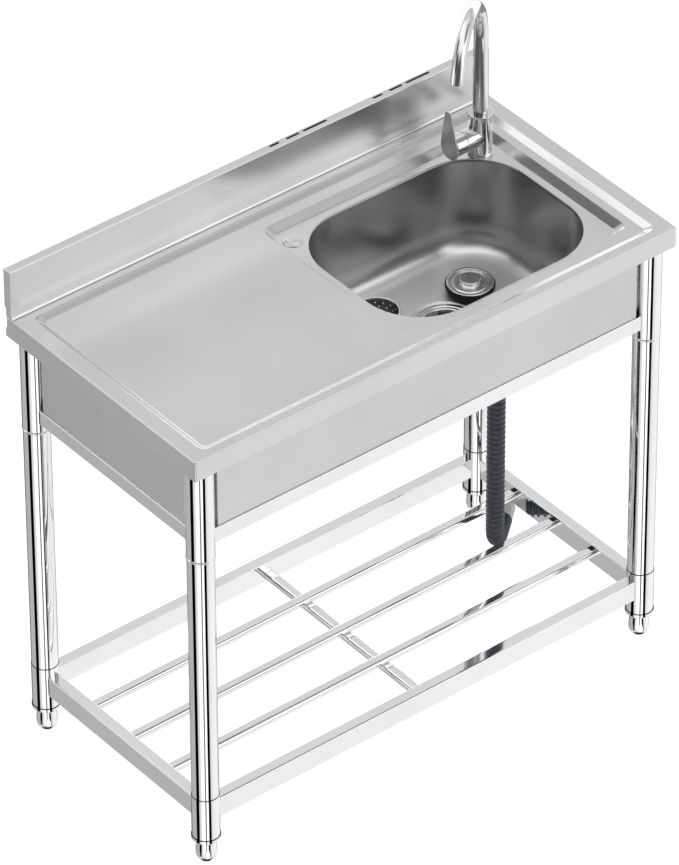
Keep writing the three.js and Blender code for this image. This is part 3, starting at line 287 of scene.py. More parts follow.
# %% Plastics and rubber
def moulded(name, dark, light, roughness, peel_mm, depth_mm, specular=0.5):
    material, tree, shader = new_material(name, {"Specular IOR Level": specular})
    peel = clouds(tree, peel_mm)
    colours = {"Factor": between(tree, clouds(tree, peel_mm * 12), 0, 1), 6: linear(dark), 7: linear(light)}
    shade = add_node(tree, "ShaderNodeMix", colours, data_type="RGBA")
    tree.links.new(shade.outputs[2], shader.inputs["Base Color"])
    tree.links.new(between(tree, peel, roughness - 0.05, roughness + 0.05), shader.inputs["Roughness"])
    bump = {"Height": peel, "Strength": 1.0, "Distance": depth_mm * MM}
    tree.links.new(add_node(tree, "ShaderNodeBump", bump).outputs[0], shader.inputs["Normal"])
    return material


hose_plastic = moulded("blow_moulded_polypropylene_hose", "#3b4047", "#484e56", 0.3, 1.2, 0.01)
pale_plastic = moulded("injection_moulded_polypropylene_fitting", "#c9cac9", "#d6d7d6", 0.45, 0.9, 0.02)
nut_plastic = moulded("black_nylon_nut", "#2a2c2f", "#34373a", 0.45, 0.9, 0.02)
seal_rubber = moulded("black_nitrile_rubber", "#121314", "#1a1b1d", 0.62, 0.6, 0.03, 0.3)

# %% [markdown]
# ## Shaping helpers
# Pressed sheet, turned parts and tube all have the same recipe: a short list of stops, softened at every
# corner as a real fold or edge is, and skinned ring by ring. Stops and rings are in millimetres and turn
# into metres only when the mesh is made. Every piece is merged, turned outwards and given normals that
# keep its flats flat, because a mirror finish shows the slightest drift of a normal.

# %% Soften, skin and finish
def softened(stops, reach, steps=4, closed=True):
    """Replaces each corner of a line of stops by a short curve that starts and ends up to reach from it."""
    stops = [np.asarray(stop, float) for stop in stops]
    reaches = reach if isinstance(reach, (list, tuple)) else [reach] * len(stops)
    line = []
    for i, stop in enumerate(stops):
        ends = not closed and i in (0, len(stops) - 1)
        if ends or reaches[i] == 0:
            line.append(stop)
            continue
        before = stops[i - 1] - stop
        after = stops[(i + 1) % len(stops)] - stop
        start = stop + before * min(0.48, reaches[i] / max(np.abs(before).max(), 1e-9))
        end = stop + after * min(0.48, reaches[i] / max(np.abs(after).max(), 1e-9))
        for k in range(steps + 1):
            t = k / steps
            line.append(start * (1 - t) ** 2 + stop * 2 * t * (1 - t) + end * t ** 2)
    return line


def skinned(rings, loop=True, caps=False):
    """Vertices and faces of a skin over rings that all have the same number of points."""
    rings = np.asarray(rings, float)
    count, size = rings.shape[:2]
    faces = []
    for i in range(count if loop else count - 1):
        here, there = i * size, ((i + 1) % count) * size
        for j in range(size):
            k = (j + 1) % size
            faces.append((here + j, here + k, there + k, there + j))
    if caps:
        faces.append(tuple(range(size - 1, -1, -1)))
        faces.append(tuple(range((count - 1) * size, count * size)))
    return rings.reshape(-1, 3), faces


def turned(outline, steps=64):
    """Turns an outline of (radius, height) about Z: a closed loop, or from the axis back to the axis."""
    angles = np.linspace(0, 2 * math.pi, steps, endpoint=False)
    rings = [[(r * math.cos(a), r * math.sin(a), z) for a in angles] for r, z in outline]
    return skinned(rings, loop=outline[0][0] > 0)


def rod(radius, low, high, steps):
    """A plain cylinder on Z, for a drill, a pin or the room that something turns in."""
    return turned([(0, low), (radius, low), (radius, high), (0, high)], steps)


def rounded_ring(x0, x1, y0, y1, radius, z, steps=12):
    """A level ring of four equal arcs joined by straight sides."""
    ring = []
    corners = ((x1, y0, -1, 1, 1.5), (x1, y1, -1, -1, 0), (x0, y1, 1, -1, 0.5), (x0, y0, 1, 1, 1))
    for x, y, side_x, side_y, start in corners:
        for k in range(steps + 1):
            angle = (start + 0.5 * k / steps) * math.pi
            across, along = math.cos(angle), math.sin(angle)
            ring.append((x + radius * (side_x + across), y + radius * (side_y + along), z))
    return ring


def pressed(stops, reach, steps=4, corner_steps=12, closed=True):
    """Skins stops of (x0, x1, y0, y1, corner radius, z), which is how a pressed or folded sheet runs."""
    line = softened(stops, reach, steps, closed)
    return skinned([rounded_ring(*stop, corner_steps) for stop in line], loop=closed)


def moved(shape, matrix):
    """The shape with its vertices carried by a matrix whose lengths are millimetres."""
    vertices, faces = shape
    flat = np.array(matrix)
    return vertices @ flat[:3, :3].T + flat[:3, 3], faces


def both(*shapes):
    """Several shapes in one, for a group of tools or of separate bodies."""
    vertices, faces, start = [], [], 0
    for some, more in shapes:
        vertices.append(some)
        faces += [tuple(i + start for i in face) for face in more]
        start += len(some)
    return np.concatenate(vertices), faces


def raw(name, shape):
    """A merged mesh object from a shape in millimetres, with its faces outwards."""
    mesh = bpy.data.meshes.new(name)
    mesh.from_pydata([tuple(v) for v in np.asarray(shape[0]) * MM], [], shape[1])
    work = bmesh.new()
    work.from_mesh(mesh)
    bmesh.ops.remove_doubles(work, verts=work.verts, dist=2e-6)
    bmesh.ops.dissolve_degenerate(work, edges=work.edges, dist=1e-6)
    bmesh.ops.recalc_face_normals(work, faces=work.faces)
    work.to_mesh(mesh)
    work.free()
    thing = bpy.data.objects.new(name, mesh)
    bpy.context.collection.objects.link(thing)
    return thing


def settled(thing):
    """The object with its modifiers applied to a plain mesh."""
    mesh = bpy.data.meshes.new_from_object(thing.evaluated_get(bpy.context.evaluated_depsgraph_get()))
    thing.modifiers.clear()
    thing.data = mesh
    return thing


def tool(body, shape, operation="DIFFERENCE"):
    """Cuts a shape out of an object, or joins it on, and applies the result."""
    cutter = raw(body.name + "_tool", shape)
    change = body.modifiers.new("tool", "BOOLEAN")
    change.operation = operation
    change.solver = "EXACT"
    change.object = cutter
    settled(body)
    bpy.data.objects.remove(cutter)
    return body


def finished(thing, material, nodes, body="frame", sharp=38):
    """Gives a piece its material, true flats and smooth folds, and its place on the frame."""
    mesh = thing.data
    mesh.materials.clear()
    mesh.materials.append(material)
    work = bmesh.new()
    work.from_mesh(mesh)
    for face in work.faces:
        face.smooth = True
        face.material_index = 0
    for edge in work.edges:
        edge.smooth = edge.calc_face_angle(0) < math.radians(sharp)
    work.to_mesh(mesh)
    work.free()
    flats = thing.modifiers.new("flats", "WEIGHTED_NORMAL")
    flats.keep_sharp = True
    settled(thing)
    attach(thing, body)
    if nodes:
        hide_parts(*nodes)
    return thing


def piece(name, shape, material, nodes, body="frame", sharp=38):
    return finished(raw(name, shape), material, nodes, body, sharp)


def centre(node):
    low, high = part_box(node)
    return [(low[i] + high[i]) / 2 / MM for i in range(3)]


def at(x, y, z=0):
    return Matrix.Translation((x, y, z))


def turn(angle, axis):
    return Matrix.Rotation(angle, 4, axis)


# %% [markdown]
# ## Drain hose
# The waste hose is a blow-moulded corrugated tube. It hangs from the drain's outlet, turns under in a tight
# J and ends in a smooth cuff under the right shelf rail. A stack of rings could be placed one by one, but
# the corrugation is only a radius that rises and falls along one path. So a geometry tree resamples the
# path, scales a round profile by a wave with the rib pitch, and Solidify gives the tube its wall.

# %% The hose's route and its ribs
HOSE_ROUTE = [
    (257.78, 6.14, 591.85), (270.8, 11.4, 583.7), (283.9, 16.6, 575.6), (313.1, 28.3, 552.4),
    (337.7, 38.2, 522.7), (356.2, 45.6, 488.1), (367.5, 50.1, 450.0), (371.4, 51.7, 410.4),
    (371.5, 52, 356), (371.5, 52, 300), (371.5, 52, 250), (371.5, 52, 200), (371.5, 52, 150),
    (371.5, 52, 108), (374.1, 54.2, 90.8), (381.6, 60.5, 76.2), (392.8, 69.9, 66.4),
    (405.9, 81, 63), (418.5, 91.6, 63), (430.9, 102, 63),
]
HOSE_RADIUS, HOSE_ROOT, HOSE_WALL, RIB_PITCH = 16.25, 12.2, 1.2, 10.6
CUFF_RADIUS, CUFF_BORE, CUFF_LENGTH = 15.6, 13, 36


def smooth_path(points, steps=8):
    """A centripetal Catmull-Rom curve through the points."""
    points = [np.array(p, float) for p in points]
    points = [2 * points[0] - points[1]] + points + [2 * points[-1] - points[-2]]
    path = []
    for a, b, c, d in zip(points, points[1:], points[2:], points[3:]):
        knots = np.cumsum([0] + [math.sqrt(np.linalg.norm(q - p)) for p, q in ((a, b), (b, c), (c, d))])
        for t in np.linspace(knots[1], knots[2], steps, endpoint=False):
            rows = [a, b, c, d]
            for level in (1, 2, 3):
                spans = [(knots[i], knots[i + level]) for i in range(4 - level)]
                if level == 3:
                    spans = [(knots[1], knots[2])]
                rows = [(p * (hi - t) + q * (t - lo)) / (hi - lo)
                        for p, q, (lo, hi) in zip(rows, rows[1:], spans)]
            path.append(rows[0])
    return path + [points[-2]]


def ribbed_tube_tree():
    tree, given = open_tree("ribbed_tube", ["Rib pitch", "Root radius", "Rib radius"])
    dense = add_node(tree, "GeometryNodeResampleCurve", {"Curve": given["Geometry"], "Length": 1.06 * MM},
                     mode="LENGTH")
    along = add_node(tree, "GeometryNodeSplineParameter").outputs["Length"]
    turns = add_node(tree, "ShaderNodeMath", {0: along, 1: given["Rib pitch"]}, operation="DIVIDE")
    angle = add_node(tree, "ShaderNodeMath", {0: turns.outputs[0], 1: 2 * math.pi}, operation="MULTIPLY")
    wave = add_node(tree, "ShaderNodeMath", {0: angle.outputs[0]}, operation="COSINE")
    inputs = {"Value": wave.outputs[0], "From Min": -0.95, "From Max": 0.9, "To Min": given["Root radius"],
              "To Max": given["Rib radius"]}
    radius = add_node(tree, "ShaderNodeMapRange", inputs, interpolation_type="SMOOTHSTEP")
    round_profile = add_node(tree, "GeometryNodeCurvePrimitiveCircle", {"Resolution": 36, "Radius": 1.0})
    tube = add_node(tree, "GeometryNodeCurveToMesh", {
        "Curve": dense.outputs[0], "Profile Curve": round_profile.outputs[0],
        "Scale": radius.outputs["Result"]})
    close_tree(tree, tube.outputs[0], given["Finish"])
    return tree


def path_object(name, points, kind="POLY"):
    curve = bpy.data.curves.new(name, "CURVE")
    curve.dimensions = "3D"
    spline = curve.splines.new(kind)
    spline.points.add(len(points) - 1)
    for slot, point in zip(spline.points, points):
        slot.co = (*[c * MM for c in point], 1)
    thing = bpy.data.objects.new(name, curve)
    bpy.context.collection.objects.link(thing)
    return thing


hose_path = smooth_path(HOSE_ROUTE)
hose = run_tree("drain_hose_ribbed", path_object("hose_path", hose_path), ribbed_tube_tree(), hose_plastic,
                {"Rib pitch": RIB_PITCH * MM, "Root radius": HOSE_ROOT * MM, "Rib radius": HOSE_RADIUS * MM})
wall = hose.modifiers.new("wall", "SOLIDIFY")
wall.thickness = HOSE_WALL * MM
wall.offset = -1
settled(hose)
finished(hose, hose_plastic, ["drain_hose"])

# %% The smooth cuff on the hose's end
cuff_outline = softened([
    (CUFF_BORE, 0.3), (CUFF_RADIUS, 0.3), (CUFF_RADIUS, 9), (CUFF_RADIUS - 0.9, 10), (CUFF_RADIUS - 0.9, 13),
    (CUFF_RADIUS, 14), (CUFF_RADIUS, CUFF_LENGTH), (CUFF_BORE, CUFF_LENGTH)], 0.8)
hose_end = Vector(HOSE_ROUTE[-1])
heading = (hose_end - Vector(HOSE_ROUTE[-2])).normalized()
cuff_turn = Vector((0, 0, 1)).rotation_difference(heading).to_matrix().to_4x4()
cuff = piece("hose_cuff_smooth", moved(turned(cuff_outline, 48), at(*hose_end) @ cuff_turn), pale_plastic,
             ["hose_cuff"])
print("cuff runs", CUFF_LENGTH, "mm past the hose's end")

# %% [markdown]
# ## Worktop
# One sheet of 1.2 mm steel, pressed and folded: a rim folded down and back under, a shallow drainboard, a
# deeper surround on the right and the mouth of the bowl. It could be a box with recesses cut from it, but
# a pressed sheet has the same thickness all over and a soft radius at every fold. So its upper face is a
# run of rounded outlines from the hem, over the rim and down to the bowl, and its lower face runs back.

# %% The pressed sheet
SHEET = 1.2
GAP = 0.3
HALF_WIDTH, HALF_DEPTH, TOP = 500, 250, 857
RIM_FOOT, REAR_STEP, REAR_STEP_HEIGHT, HEM = 817, 3.5, 835, 8.2
RIM = (-HALF_WIDTH, HALF_WIDTH, -HALF_DEPTH, HALF_DEPTH)
UPPER_RIM = (-HALF_WIDTH, HALF_WIDTH, -HALF_DEPTH, HALF_DEPTH - REAR_STEP)
DRAIN_EDGE, DRAIN_FOOT, DRAIN_FLOOR = (-471, 471, -232, 213.5), (-459, 459, -220, 201.5), 851
LEDGE_EDGE, LEDGE_FOOT, LEDGE = (-31, 443, -197, 179), (-21, 429.5, -183.5, 165.5), 839
MOUTH, MOUTH_CORNER = (-8, 417, -181.5, 152), 110
SPLASH_FRONT, SPLASH_TOP, SLOT_LINE, SLOT_WIDTH = 232, 952, 242, 4.5
SLOTS_ALONG = [(start + offset, start + offset + length) for start in (40, 258)
               for offset, length in ((0, 19), (35, 26), (70, 49))]
FAUCET_X, FAUCET_Y = (0.5 * (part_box("faucet_nut")[0][i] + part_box("faucet_nut")[1][i]) / MM for i in (0, 1))
CAP_X, CAP_Y, _ = centre("hole_cap")
SHANK_HOLE, CAP_HOLE = 14.3, 9.3


def inset(area, by):
    return area[0] + by, area[1] - by, area[2] + by, area[3] - by


def block(x0, x1, y0, y1, z0, z1):
    return skinned([rounded_ring(x0, x1, y0, y1, 0, z, 1) for z in (z0, z1)], loop=False, caps=True)


upper = [
    (*inset(RIM, HEM), 0.5, RIM_FOOT), (*RIM, 3, RIM_FOOT), (*RIM, 3, REAR_STEP_HEIGHT - 1),
    (*UPPER_RIM, 3, REAR_STEP_HEIGHT + 1), (*UPPER_RIM, 3, TOP), (*DRAIN_EDGE, 14, TOP),
    (*DRAIN_FOOT, 9, DRAIN_FLOOR), (*LEDGE_EDGE, 20, DRAIN_FLOOR), (*LEDGE_FOOT, 15, LEDGE),
    (*MOUTH, MOUTH_CORNER, LEDGE),
]
under = [
    (*MOUTH, MOUTH_CORNER, LEDGE - SHEET), (*LEDGE_FOOT, 15, LEDGE - SHEET),
    (*LEDGE_EDGE, 20, DRAIN_FLOOR - SHEET), (*DRAIN_FOOT, 9, DRAIN_FLOOR - SHEET),
    (*DRAIN_EDGE, 14, TOP - SHEET), (*inset(UPPER_RIM, SHEET), 2, TOP - SHEET),
    (*inset(UPPER_RIM, SHEET), 2, REAR_STEP_HEIGHT + 0.4), (*inset(RIM, SHEET), 2, REAR_STEP_HEIGHT - 1.6),
    (*inset(RIM, SHEET), 2, RIM_FOOT + SHEET), (*inset(RIM, HEM), 0.5, RIM_FOOT + SHEET),
]
soft = [0.3, 1.2, 1.5, 1.5, 2.8, 1.8, 2.2, 1.8, 2.6, 2.2] + [0.4, 2, 2, 2, 2, 1, 1, 1, 1, 0.3]
worktop = raw("worktop_pressed", pressed(upper + under, soft, steps=5, corner_steps=14))
holes = [moved(rod(radius, LEDGE - 9, LEDGE + 5, 32), at(x, y))
         for x, y, radius in ((FAUCET_X, FAUCET_Y, SHANK_HOLE), (CAP_X, CAP_Y, CAP_HOLE))]
windows = [block(x0, x1, SLOT_LINE - 2.85, SLOT_LINE + 2.85, RIM_FOOT - 1, TOP + 1)
           for x0, x1 in ((40, 159), (258, 377))]
tool(worktop, both(*holes, *windows))
finished(worktop, satin_sheet, ["worktop"])
print("worktop:", len(worktop.data.polygons), "faces")

# %% [markdown]
# ## Backsplash
# A folded channel stands on the back of the worktop, open below, with its ends closed and two rows of three
# narrow slots in its top. The same run of outlines makes it: up the outside, across the top to a line along
# its middle, and back down the inside. The foot turns out a little where it meets the worktop, and the
# slots are then cut through the top.

# %% The folded channel and its slots
TOE = 2.4
outside = (-HALF_WIDTH, HALF_WIDTH, SPLASH_FRONT, HALF_DEPTH)
stepped = (-HALF_WIDTH, HALF_WIDTH, SPLASH_FRONT, HALF_DEPTH - REAR_STEP)
foot = TOP + GAP
middle = 0.5 * (SPLASH_FRONT + HALF_DEPTH)
half = 0.5 * (HALF_DEPTH - SPLASH_FRONT)
crest_line = (-HALF_WIDTH + half, HALF_WIDTH - half, middle, middle)
toe = (-HALF_WIDTH, HALF_WIDTH, SPLASH_FRONT - TOE, HALF_DEPTH - REAR_STEP)
splash_stops = [
    (*crest_line, 0, SPLASH_TOP), (*outside, 1.2, SPLASH_TOP), (*outside, 1.2, 877), (*stepped, 1.2, 873.5),
    (*stepped, 1.2, foot + TOE), (*toe, 1.2, foot), (*inset(stepped, SHEET), 0.6, foot),
    (*inset(stepped, SHEET), 0.6, 874.1),
    (*inset(outside, SHEET), 0.6, 877.6), (*inset(outside, SHEET), 0.6, SPLASH_TOP - SHEET),
    (*crest_line, 0, SPLASH_TOP - SHEET),
]
splash = raw("backsplash_folded", pressed(splash_stops, [0, 2.8, 1, 1, 2, 0.1, 0.2, 0.6, 0.6, 1, 0], steps=5,
                                          closed=False))
tool(splash, both(*[block(x0, x1, SLOT_LINE - SLOT_WIDTH / 2, SLOT_LINE + SLOT_WIDTH / 2, SPLASH_TOP - 5,
                          SPLASH_TOP + 1) for x0, x1 in SLOTS_ALONG]))
finished(splash, satin_sheet, ["backsplash"])
print("backsplash:", len(SLOTS_ALONG), "slots")

# %% [markdown]
# ## Bowl
# The bowl is drawn from one disc of steel, so its walls lean in a little, its corners are wide and a large
# fillet joins them to the floor. The floor is pressed down again round the drain. All of that is one run
# of outlines, whose last ones grow into circles. The outside repeats it one sheet thickness away.

# %% The drawn bowl
BOWL_FLOOR, DRAFT, FILLET, BOWL_SHEET = 660, 6, 38, 1
BOWL_X, BOWL_Y = 0.5 * (MOUTH[0] + MOUTH[1]), 0.5 * (MOUTH[2] + MOUTH[3])
SEAT_RADIUS, SEAT_FLOOR, DRAIN_HOLE = 58.5, 657.3, 43.2
BOWL_TOP = LEDGE - SHEET - GAP
NOTCH = 20


def bowl_stop(by, z):
    return (*inset(MOUTH, by), MOUTH_CORNER - by, z)


def disc_stop(radius, z):
    return BOWL_X - radius, BOWL_X + radius, BOWL_Y - radius, BOWL_Y + radius, radius, z


def floor_fillet(radius, steps=12):
    angles = [0.5 * math.pi * k / steps for k in range(steps + 1)]
    return [bowl_stop(DRAFT + FILLET - radius * math.cos(a), BOWL_FLOOR + FILLET - radius * math.sin(a))
            for a in angles]


inner = [bowl_stop(-6, BOWL_TOP), bowl_stop(-0.2, BOWL_TOP), bowl_stop(1.2, BOWL_TOP - 3)]
inner += floor_fillet(FILLET)
inner += [disc_stop(SEAT_RADIUS + 3.5, BOWL_FLOOR), disc_stop(SEAT_RADIUS, SEAT_FLOOR),
          disc_stop(DRAIN_HOLE, SEAT_FLOOR)]
SEAT_UNDER = SEAT_FLOOR - BOWL_SHEET
outer = [disc_stop(DRAIN_HOLE, SEAT_UNDER), disc_stop(SEAT_RADIUS + 0.5, SEAT_UNDER),
         disc_stop(SEAT_RADIUS + 4, BOWL_FLOOR - BOWL_SHEET)]
outer += floor_fillet(FILLET + BOWL_SHEET)[::-1]
outer += [bowl_stop(0.2, BOWL_TOP - 3.6), bowl_stop(-0.8, BOWL_TOP - BOWL_SHEET),
          bowl_stop(-6, BOWL_TOP - BOWL_SHEET)]
bowl_reach = [0, 1.4, 1.4] + [0] * 13 + [1.5, 1.5, 0] + [0, 1.5, 1.5] + [0] * 13 + [1, 1, 0]
bowl = raw("bowl_drawn", pressed(inner + outer, bowl_reach, steps=4, corner_steps=24))
tool(bowl, moved(rod(NOTCH, BOWL_TOP - 2.5, BOWL_TOP + 1, 32), at(FAUCET_X, FAUCET_Y)))
finished(bowl, bowl_steel_painted_shade_and_sheen, ["bowl"], sharp=50)
print("bowl floor is", LEDGE - BOWL_FLOOR, "mm below the ledge")

# %% [markdown]
# ## Drain
# The drain is a spun steel cup whose flange lies in the pressed seat. A rubber ring, a plastic ring nut and
# a plastic body hold it from below, and the body turns the water to the hose. Each is a turned outline, as
# it would come off a lathe or out of a round mould, and the body's outlet is joined on at its slant.

# %% Drain flange, gasket, nut and body
CUP_RADIUS, CUP_FLOOR, CUP_WALL, FLANGE_RADIUS = 41.2, 614, 1.2, 57
THREAD_RADIUS = CUP_RADIUS + GAP
GASKET_THICK, NUT_THICK, BODY_HEIGHT = 3.4, 11.7, 60
GASKET_TOP = SEAT_UNDER - GAP
NUT_TOP = GASKET_TOP - GASKET_THICK - GAP
BODY_TOP = NUT_TOP - NUT_THICK - GAP
BODY_FOOT = BODY_TOP - BODY_HEIGHT
OUTLET_TURN, OUTLET_DOWN, OUTLET_REACH, OUTLET_RADIUS, OUTLET_BORE = 0.3818, math.pi / 6, 66, 15.5, 12.5
over_drain = at(BOWL_X, BOWL_Y)
lip = SEAT_FLOOR + GAP
flange = softened([
    (18, CUP_FLOOR - CUP_WALL), (CUP_RADIUS, CUP_FLOOR - CUP_WALL), (CUP_RADIUS, lip), (FLANGE_RADIUS, lip),
    (FLANGE_RADIUS, lip + 1.4), (FLANGE_RADIUS - 7, lip + 3.2), (CUP_RADIUS + 8, lip + 3.4),
    (CUP_RADIUS + 6.5, lip + 2.2), (CUP_RADIUS + 3.5, lip + 2.2), (CUP_RADIUS + 1.5, lip + 3.4),
    (CUP_RADIUS - CUP_WALL, lip + 2), (CUP_RADIUS - CUP_WALL, CUP_FLOOR + 2), (CUP_RADIUS - 5, CUP_FLOOR),
    (18, CUP_FLOOR)], [0, 2, 0.4, 0.3, 0.8, 1.5, 0.9, 0.9, 0.9, 0.9, 1.2, 1.5, 1.5, 0])
piece("drain_flange_spun", moved(turned(flange, 96), over_drain), drain_steel, ["drain_flange"])


def ring_outline(inner, outer, bottom, top, edge=0.6):
    return softened([(inner, bottom), (outer, bottom), (outer, top), (inner, top)], edge)


gasket = ring_outline(THREAD_RADIUS, 55, GASKET_TOP - GASKET_THICK, GASKET_TOP)
piece("drain_gasket_ring", moved(turned(gasket, 64), over_drain), seal_rubber, ["drain_gasket"])
nut_ring = ring_outline(THREAD_RADIUS, 54, NUT_TOP - NUT_THICK, NUT_TOP, 0.8)
nut = raw("drain_nut_moulded", moved(turned(nut_ring, 96), over_drain))
lug = block(52, 59, -4, 4, NUT_TOP - NUT_THICK + 0.1, NUT_TOP - 0.1)
lugs = [moved(lug, over_drain @ turn(k * math.pi / 3, "Z")) for k in range(6)]
tool(nut, both(*lugs), "UNION")
finished(nut, pale_plastic, ["drain_nut"])
body_outer = THREAD_RADIUS + 3.5
along_outlet = (at(BOWL_X, BOWL_Y, BODY_TOP - 15) @ turn(OUTLET_TURN, "Z")
                @ turn(math.pi / 2 + OUTLET_DOWN, "Y"))
drain_body = raw("drain_body_moulded", moved(turned(softened([
    (0, BODY_FOOT), (body_outer, BODY_FOOT), (body_outer, BODY_TOP - 8), (body_outer + 2, BODY_TOP - 7),
    (body_outer + 2, BODY_TOP), (0, BODY_TOP)], [0, 6, 0.8, 0.8, 0.8, 0], closed=False), 96), over_drain))
outlet = rod(OUTLET_RADIUS, THREAD_RADIUS - 3, OUTLET_REACH, 48)
tool(drain_body, moved(outlet, along_outlet), "UNION")
hollow = turned([(0, BODY_FOOT + 3.5), (THREAD_RADIUS - 4, BODY_FOOT + 3.5), (THREAD_RADIUS, BODY_FOOT + 7.5),
                 (THREAD_RADIUS, BODY_TOP + 1), (0, BODY_TOP + 1)], 96)
tool(drain_body, moved(hollow, over_drain))
tool(drain_body, moved(rod(OUTLET_BORE, THREAD_RADIUS - 8, OUTLET_REACH + 1, 48), along_outlet))
finished(drain_body, pale_plastic, ["drain_body"])
grip = softened([(15.8, 60), (20.5, 60), (20.5, 80), (17.15, 80), (17.15, 64), (15.8, 64)],
                [0.3, 1, 1, 0.4, 0.4, 0.3])
hose_nut = raw("hose_nut_moulded", moved(turned(grip, 72), along_outlet))
flutes = [moved(rod(1.6, 62.5, 77.5, 12), along_outlet @ turn(k * math.pi / 9, "Z") @ at(21.3, 0))
          for k in range(18)]
tool(hose_nut, both(*flutes))
finished(hose_nut, pale_plastic, ["hose_nut"])
print("drain stands from", BODY_FOOT, "to", round(lip + 3.4, 1), "mm")

# %% [markdown]
# ## Loose stopper and basket
# A steel plate with a knob, set in a rubber ring, closes the drain, and a perforated basket catches scraps.
# In the photograph both lie in the bowl. The plate and ring are turned. The basket's holes repeat round it
# in rows, so a geometry tree sets a small drill on each point of a grid and cuts them all at once.

# %% Stopper plate and rubber ring
STOPPER_X, STOPPER_Y, _ = centre("stopper_plate")
over_stopper = at(STOPPER_X, STOPPER_Y)
RING_FOOT, RING_TOP = BOWL_FLOOR + GAP, BOWL_FLOOR + GAP + 19
seal = softened([(31, RING_FOOT), (37, RING_FOOT), (38.5, RING_FOOT + 4), (42.5, RING_TOP - 5),
                 (42.5, RING_TOP), (36.5, RING_TOP), (31, RING_TOP - 6)], [0.5, 1.2, 1.5, 2, 1, 0.5, 1])
piece("stopper_seal_moulded", moved(turned(seal, 96), over_stopper), seal_rubber, ["stopper_seal"], "stopper")
PLATE_SEAT = RING_TOP + GAP
FACE = PLATE_SEAT + 1.2
plate = softened([
    (0, PLATE_SEAT - 8), (30, PLATE_SEAT - 8), (30, PLATE_SEAT), (40, PLATE_SEAT), (40, PLATE_SEAT + 2.6),
    (35, PLATE_SEAT + 2.6), (34, FACE), (33, FACE - 2.2), (31.5, FACE - 2.2), (29, FACE - 0.6),
    (20.5, FACE - 0.8), (18.5, FACE - 2.2), (17, FACE - 2.2), (17.5, FACE + 8.5), (0, FACE + 8.5)],
    [0, 1, 0.5, 0.8, 1.2, 0.9, 0.6, 0.4, 0.4, 1.5, 1, 0.6, 0.5, 1.4, 0], closed=False)
piece("stopper_plate_pressed", moved(turned(plate, 96), over_stopper), plate_steel, ["stopper_plate"],
      "stopper")
print("stopper plate stands from", round(PLATE_SEAT - 8, 1), "to", round(FACE + 8.5, 1), "mm")

# %% Basket and its perforations
BASKET_X, BASKET_Y, _ = centre("strainer_basket")
BASKET_FOOT = BOWL_FLOOR + GAP
basket_outline = softened([
    (0, BASKET_FOOT), (30, BASKET_FOOT), (37.2, BASKET_FOOT + 37.4), (39.4, BASKET_FOOT + 37.6),
    (40, BASKET_FOOT + 38.8), (39, BASKET_FOOT + 40), (36, BASKET_FOOT + 39.6),
    (35.6, BASKET_FOOT + 36), (29.4, BASKET_FOOT + 0.9), (0, BASKET_FOOT + 0.9)],
    [0, 5, 0.8, 0.8, 0.8, 0.8, 0.8, 1, 5, 0], closed=False)


def drill_points():
    """A point at each hole of the wall and floor, with the direction of the hole in its normal."""
    points, normals = [], []
    for row in range(4):
        height = BASKET_FOOT + 9 + row * 7
        for k in range(16):
            angle = (k + 0.5 * (row % 2)) * math.pi / 8
            out = 32 + 5.6 * (height - BASKET_FOOT) / 40
            points.append((out * math.cos(angle), out * math.sin(angle), height))
            normals.append((math.cos(angle), math.sin(angle), 0))
    for count, radius in ((1, 0), (6, 8), (12, 17)):
        for k in range(count):
            angle = 2 * math.pi * k / count
            points.append((radius * math.cos(angle), radius * math.sin(angle), BASKET_FOOT + 0.5))
            normals.append((0, 0, 1))
    return points, normals


def perforation_tree(cloud):
    """Cuts a drill of the given radius from the shell at every point of the cloud."""
    tree, given = open_tree("perforations", ["Hole radius", "Drill length"])
    marks = add_node(tree, "GeometryNodeObjectInfo", {"Object": cloud})
    facing = add_node(tree, "GeometryNodeInputNamedAttribute", {"Name": "drill"}, data_type="FLOAT_VECTOR")
    aimed = add_node(tree, "FunctionNodeAlignRotationToVector", {"Vector": facing.outputs[0]}, axis="Z")
    drill = add_node(tree, "GeometryNodeMeshCylinder", {
        "Vertices": 12, "Radius": given["Hole radius"], "Depth": given["Drill length"]})
    drills = add_node(tree, "GeometryNodeInstanceOnPoints", {
        "Points": marks.outputs["Geometry"], "Instance": drill.outputs["Mesh"],
        "Rotation": aimed.outputs[0]})
    solid = add_node(tree, "GeometryNodeRealizeInstances", {"Geometry": drills.outputs[0]})
    cut = add_node(tree, "GeometryNodeMeshBoolean", {"Mesh 1": given["Geometry"], "Mesh 2": solid.outputs[0]},
                   operation="DIFFERENCE", solver="EXACT")
    close_tree(tree, cut.outputs["Mesh"], given["Finish"])
    return tree


over_basket = at(BASKET_X, BASKET_Y)
points, normals = drill_points()
cloud_mesh = bpy.data.meshes.new("drill_points")
cloud_mesh.from_pydata([tuple(c * MM for c in over_basket @ Vector(p)) for p in points], [], [])
directions = cloud_mesh.attributes.new("drill", "FLOAT_VECTOR", "POINT")
directions.data.foreach_set("vector", [c for n in normals for c in n])
cloud = bpy.data.objects.new("drill_points", cloud_mesh)
bpy.context.collection.objects.link(cloud)
basket = run_tree("basket_perforated", raw("basket_shell", moved(turned(basket_outline, 64), over_basket)),
                  perforation_tree(cloud), basket_steel, {"Hole radius": 1.5 * MM, "Drill length": 7 * MM})
bpy.data.objects.remove(cloud)
finished(basket, basket_steel, ["strainer_basket"], "basket")
print("basket:", len(points), "holes,", len(basket.data.polygons), "faces")

# %% [markdown]
# ## Faucet
# A single-lever faucet stands in the rear right corner of the ledge. Its column, side housing and cap ring
# are cast and polished, and its gooseneck spout is a tapered tube that swivels on a stem. The column and
# housing are two turned shapes joined into one, and the spout is skinned along an upright line and an arc.

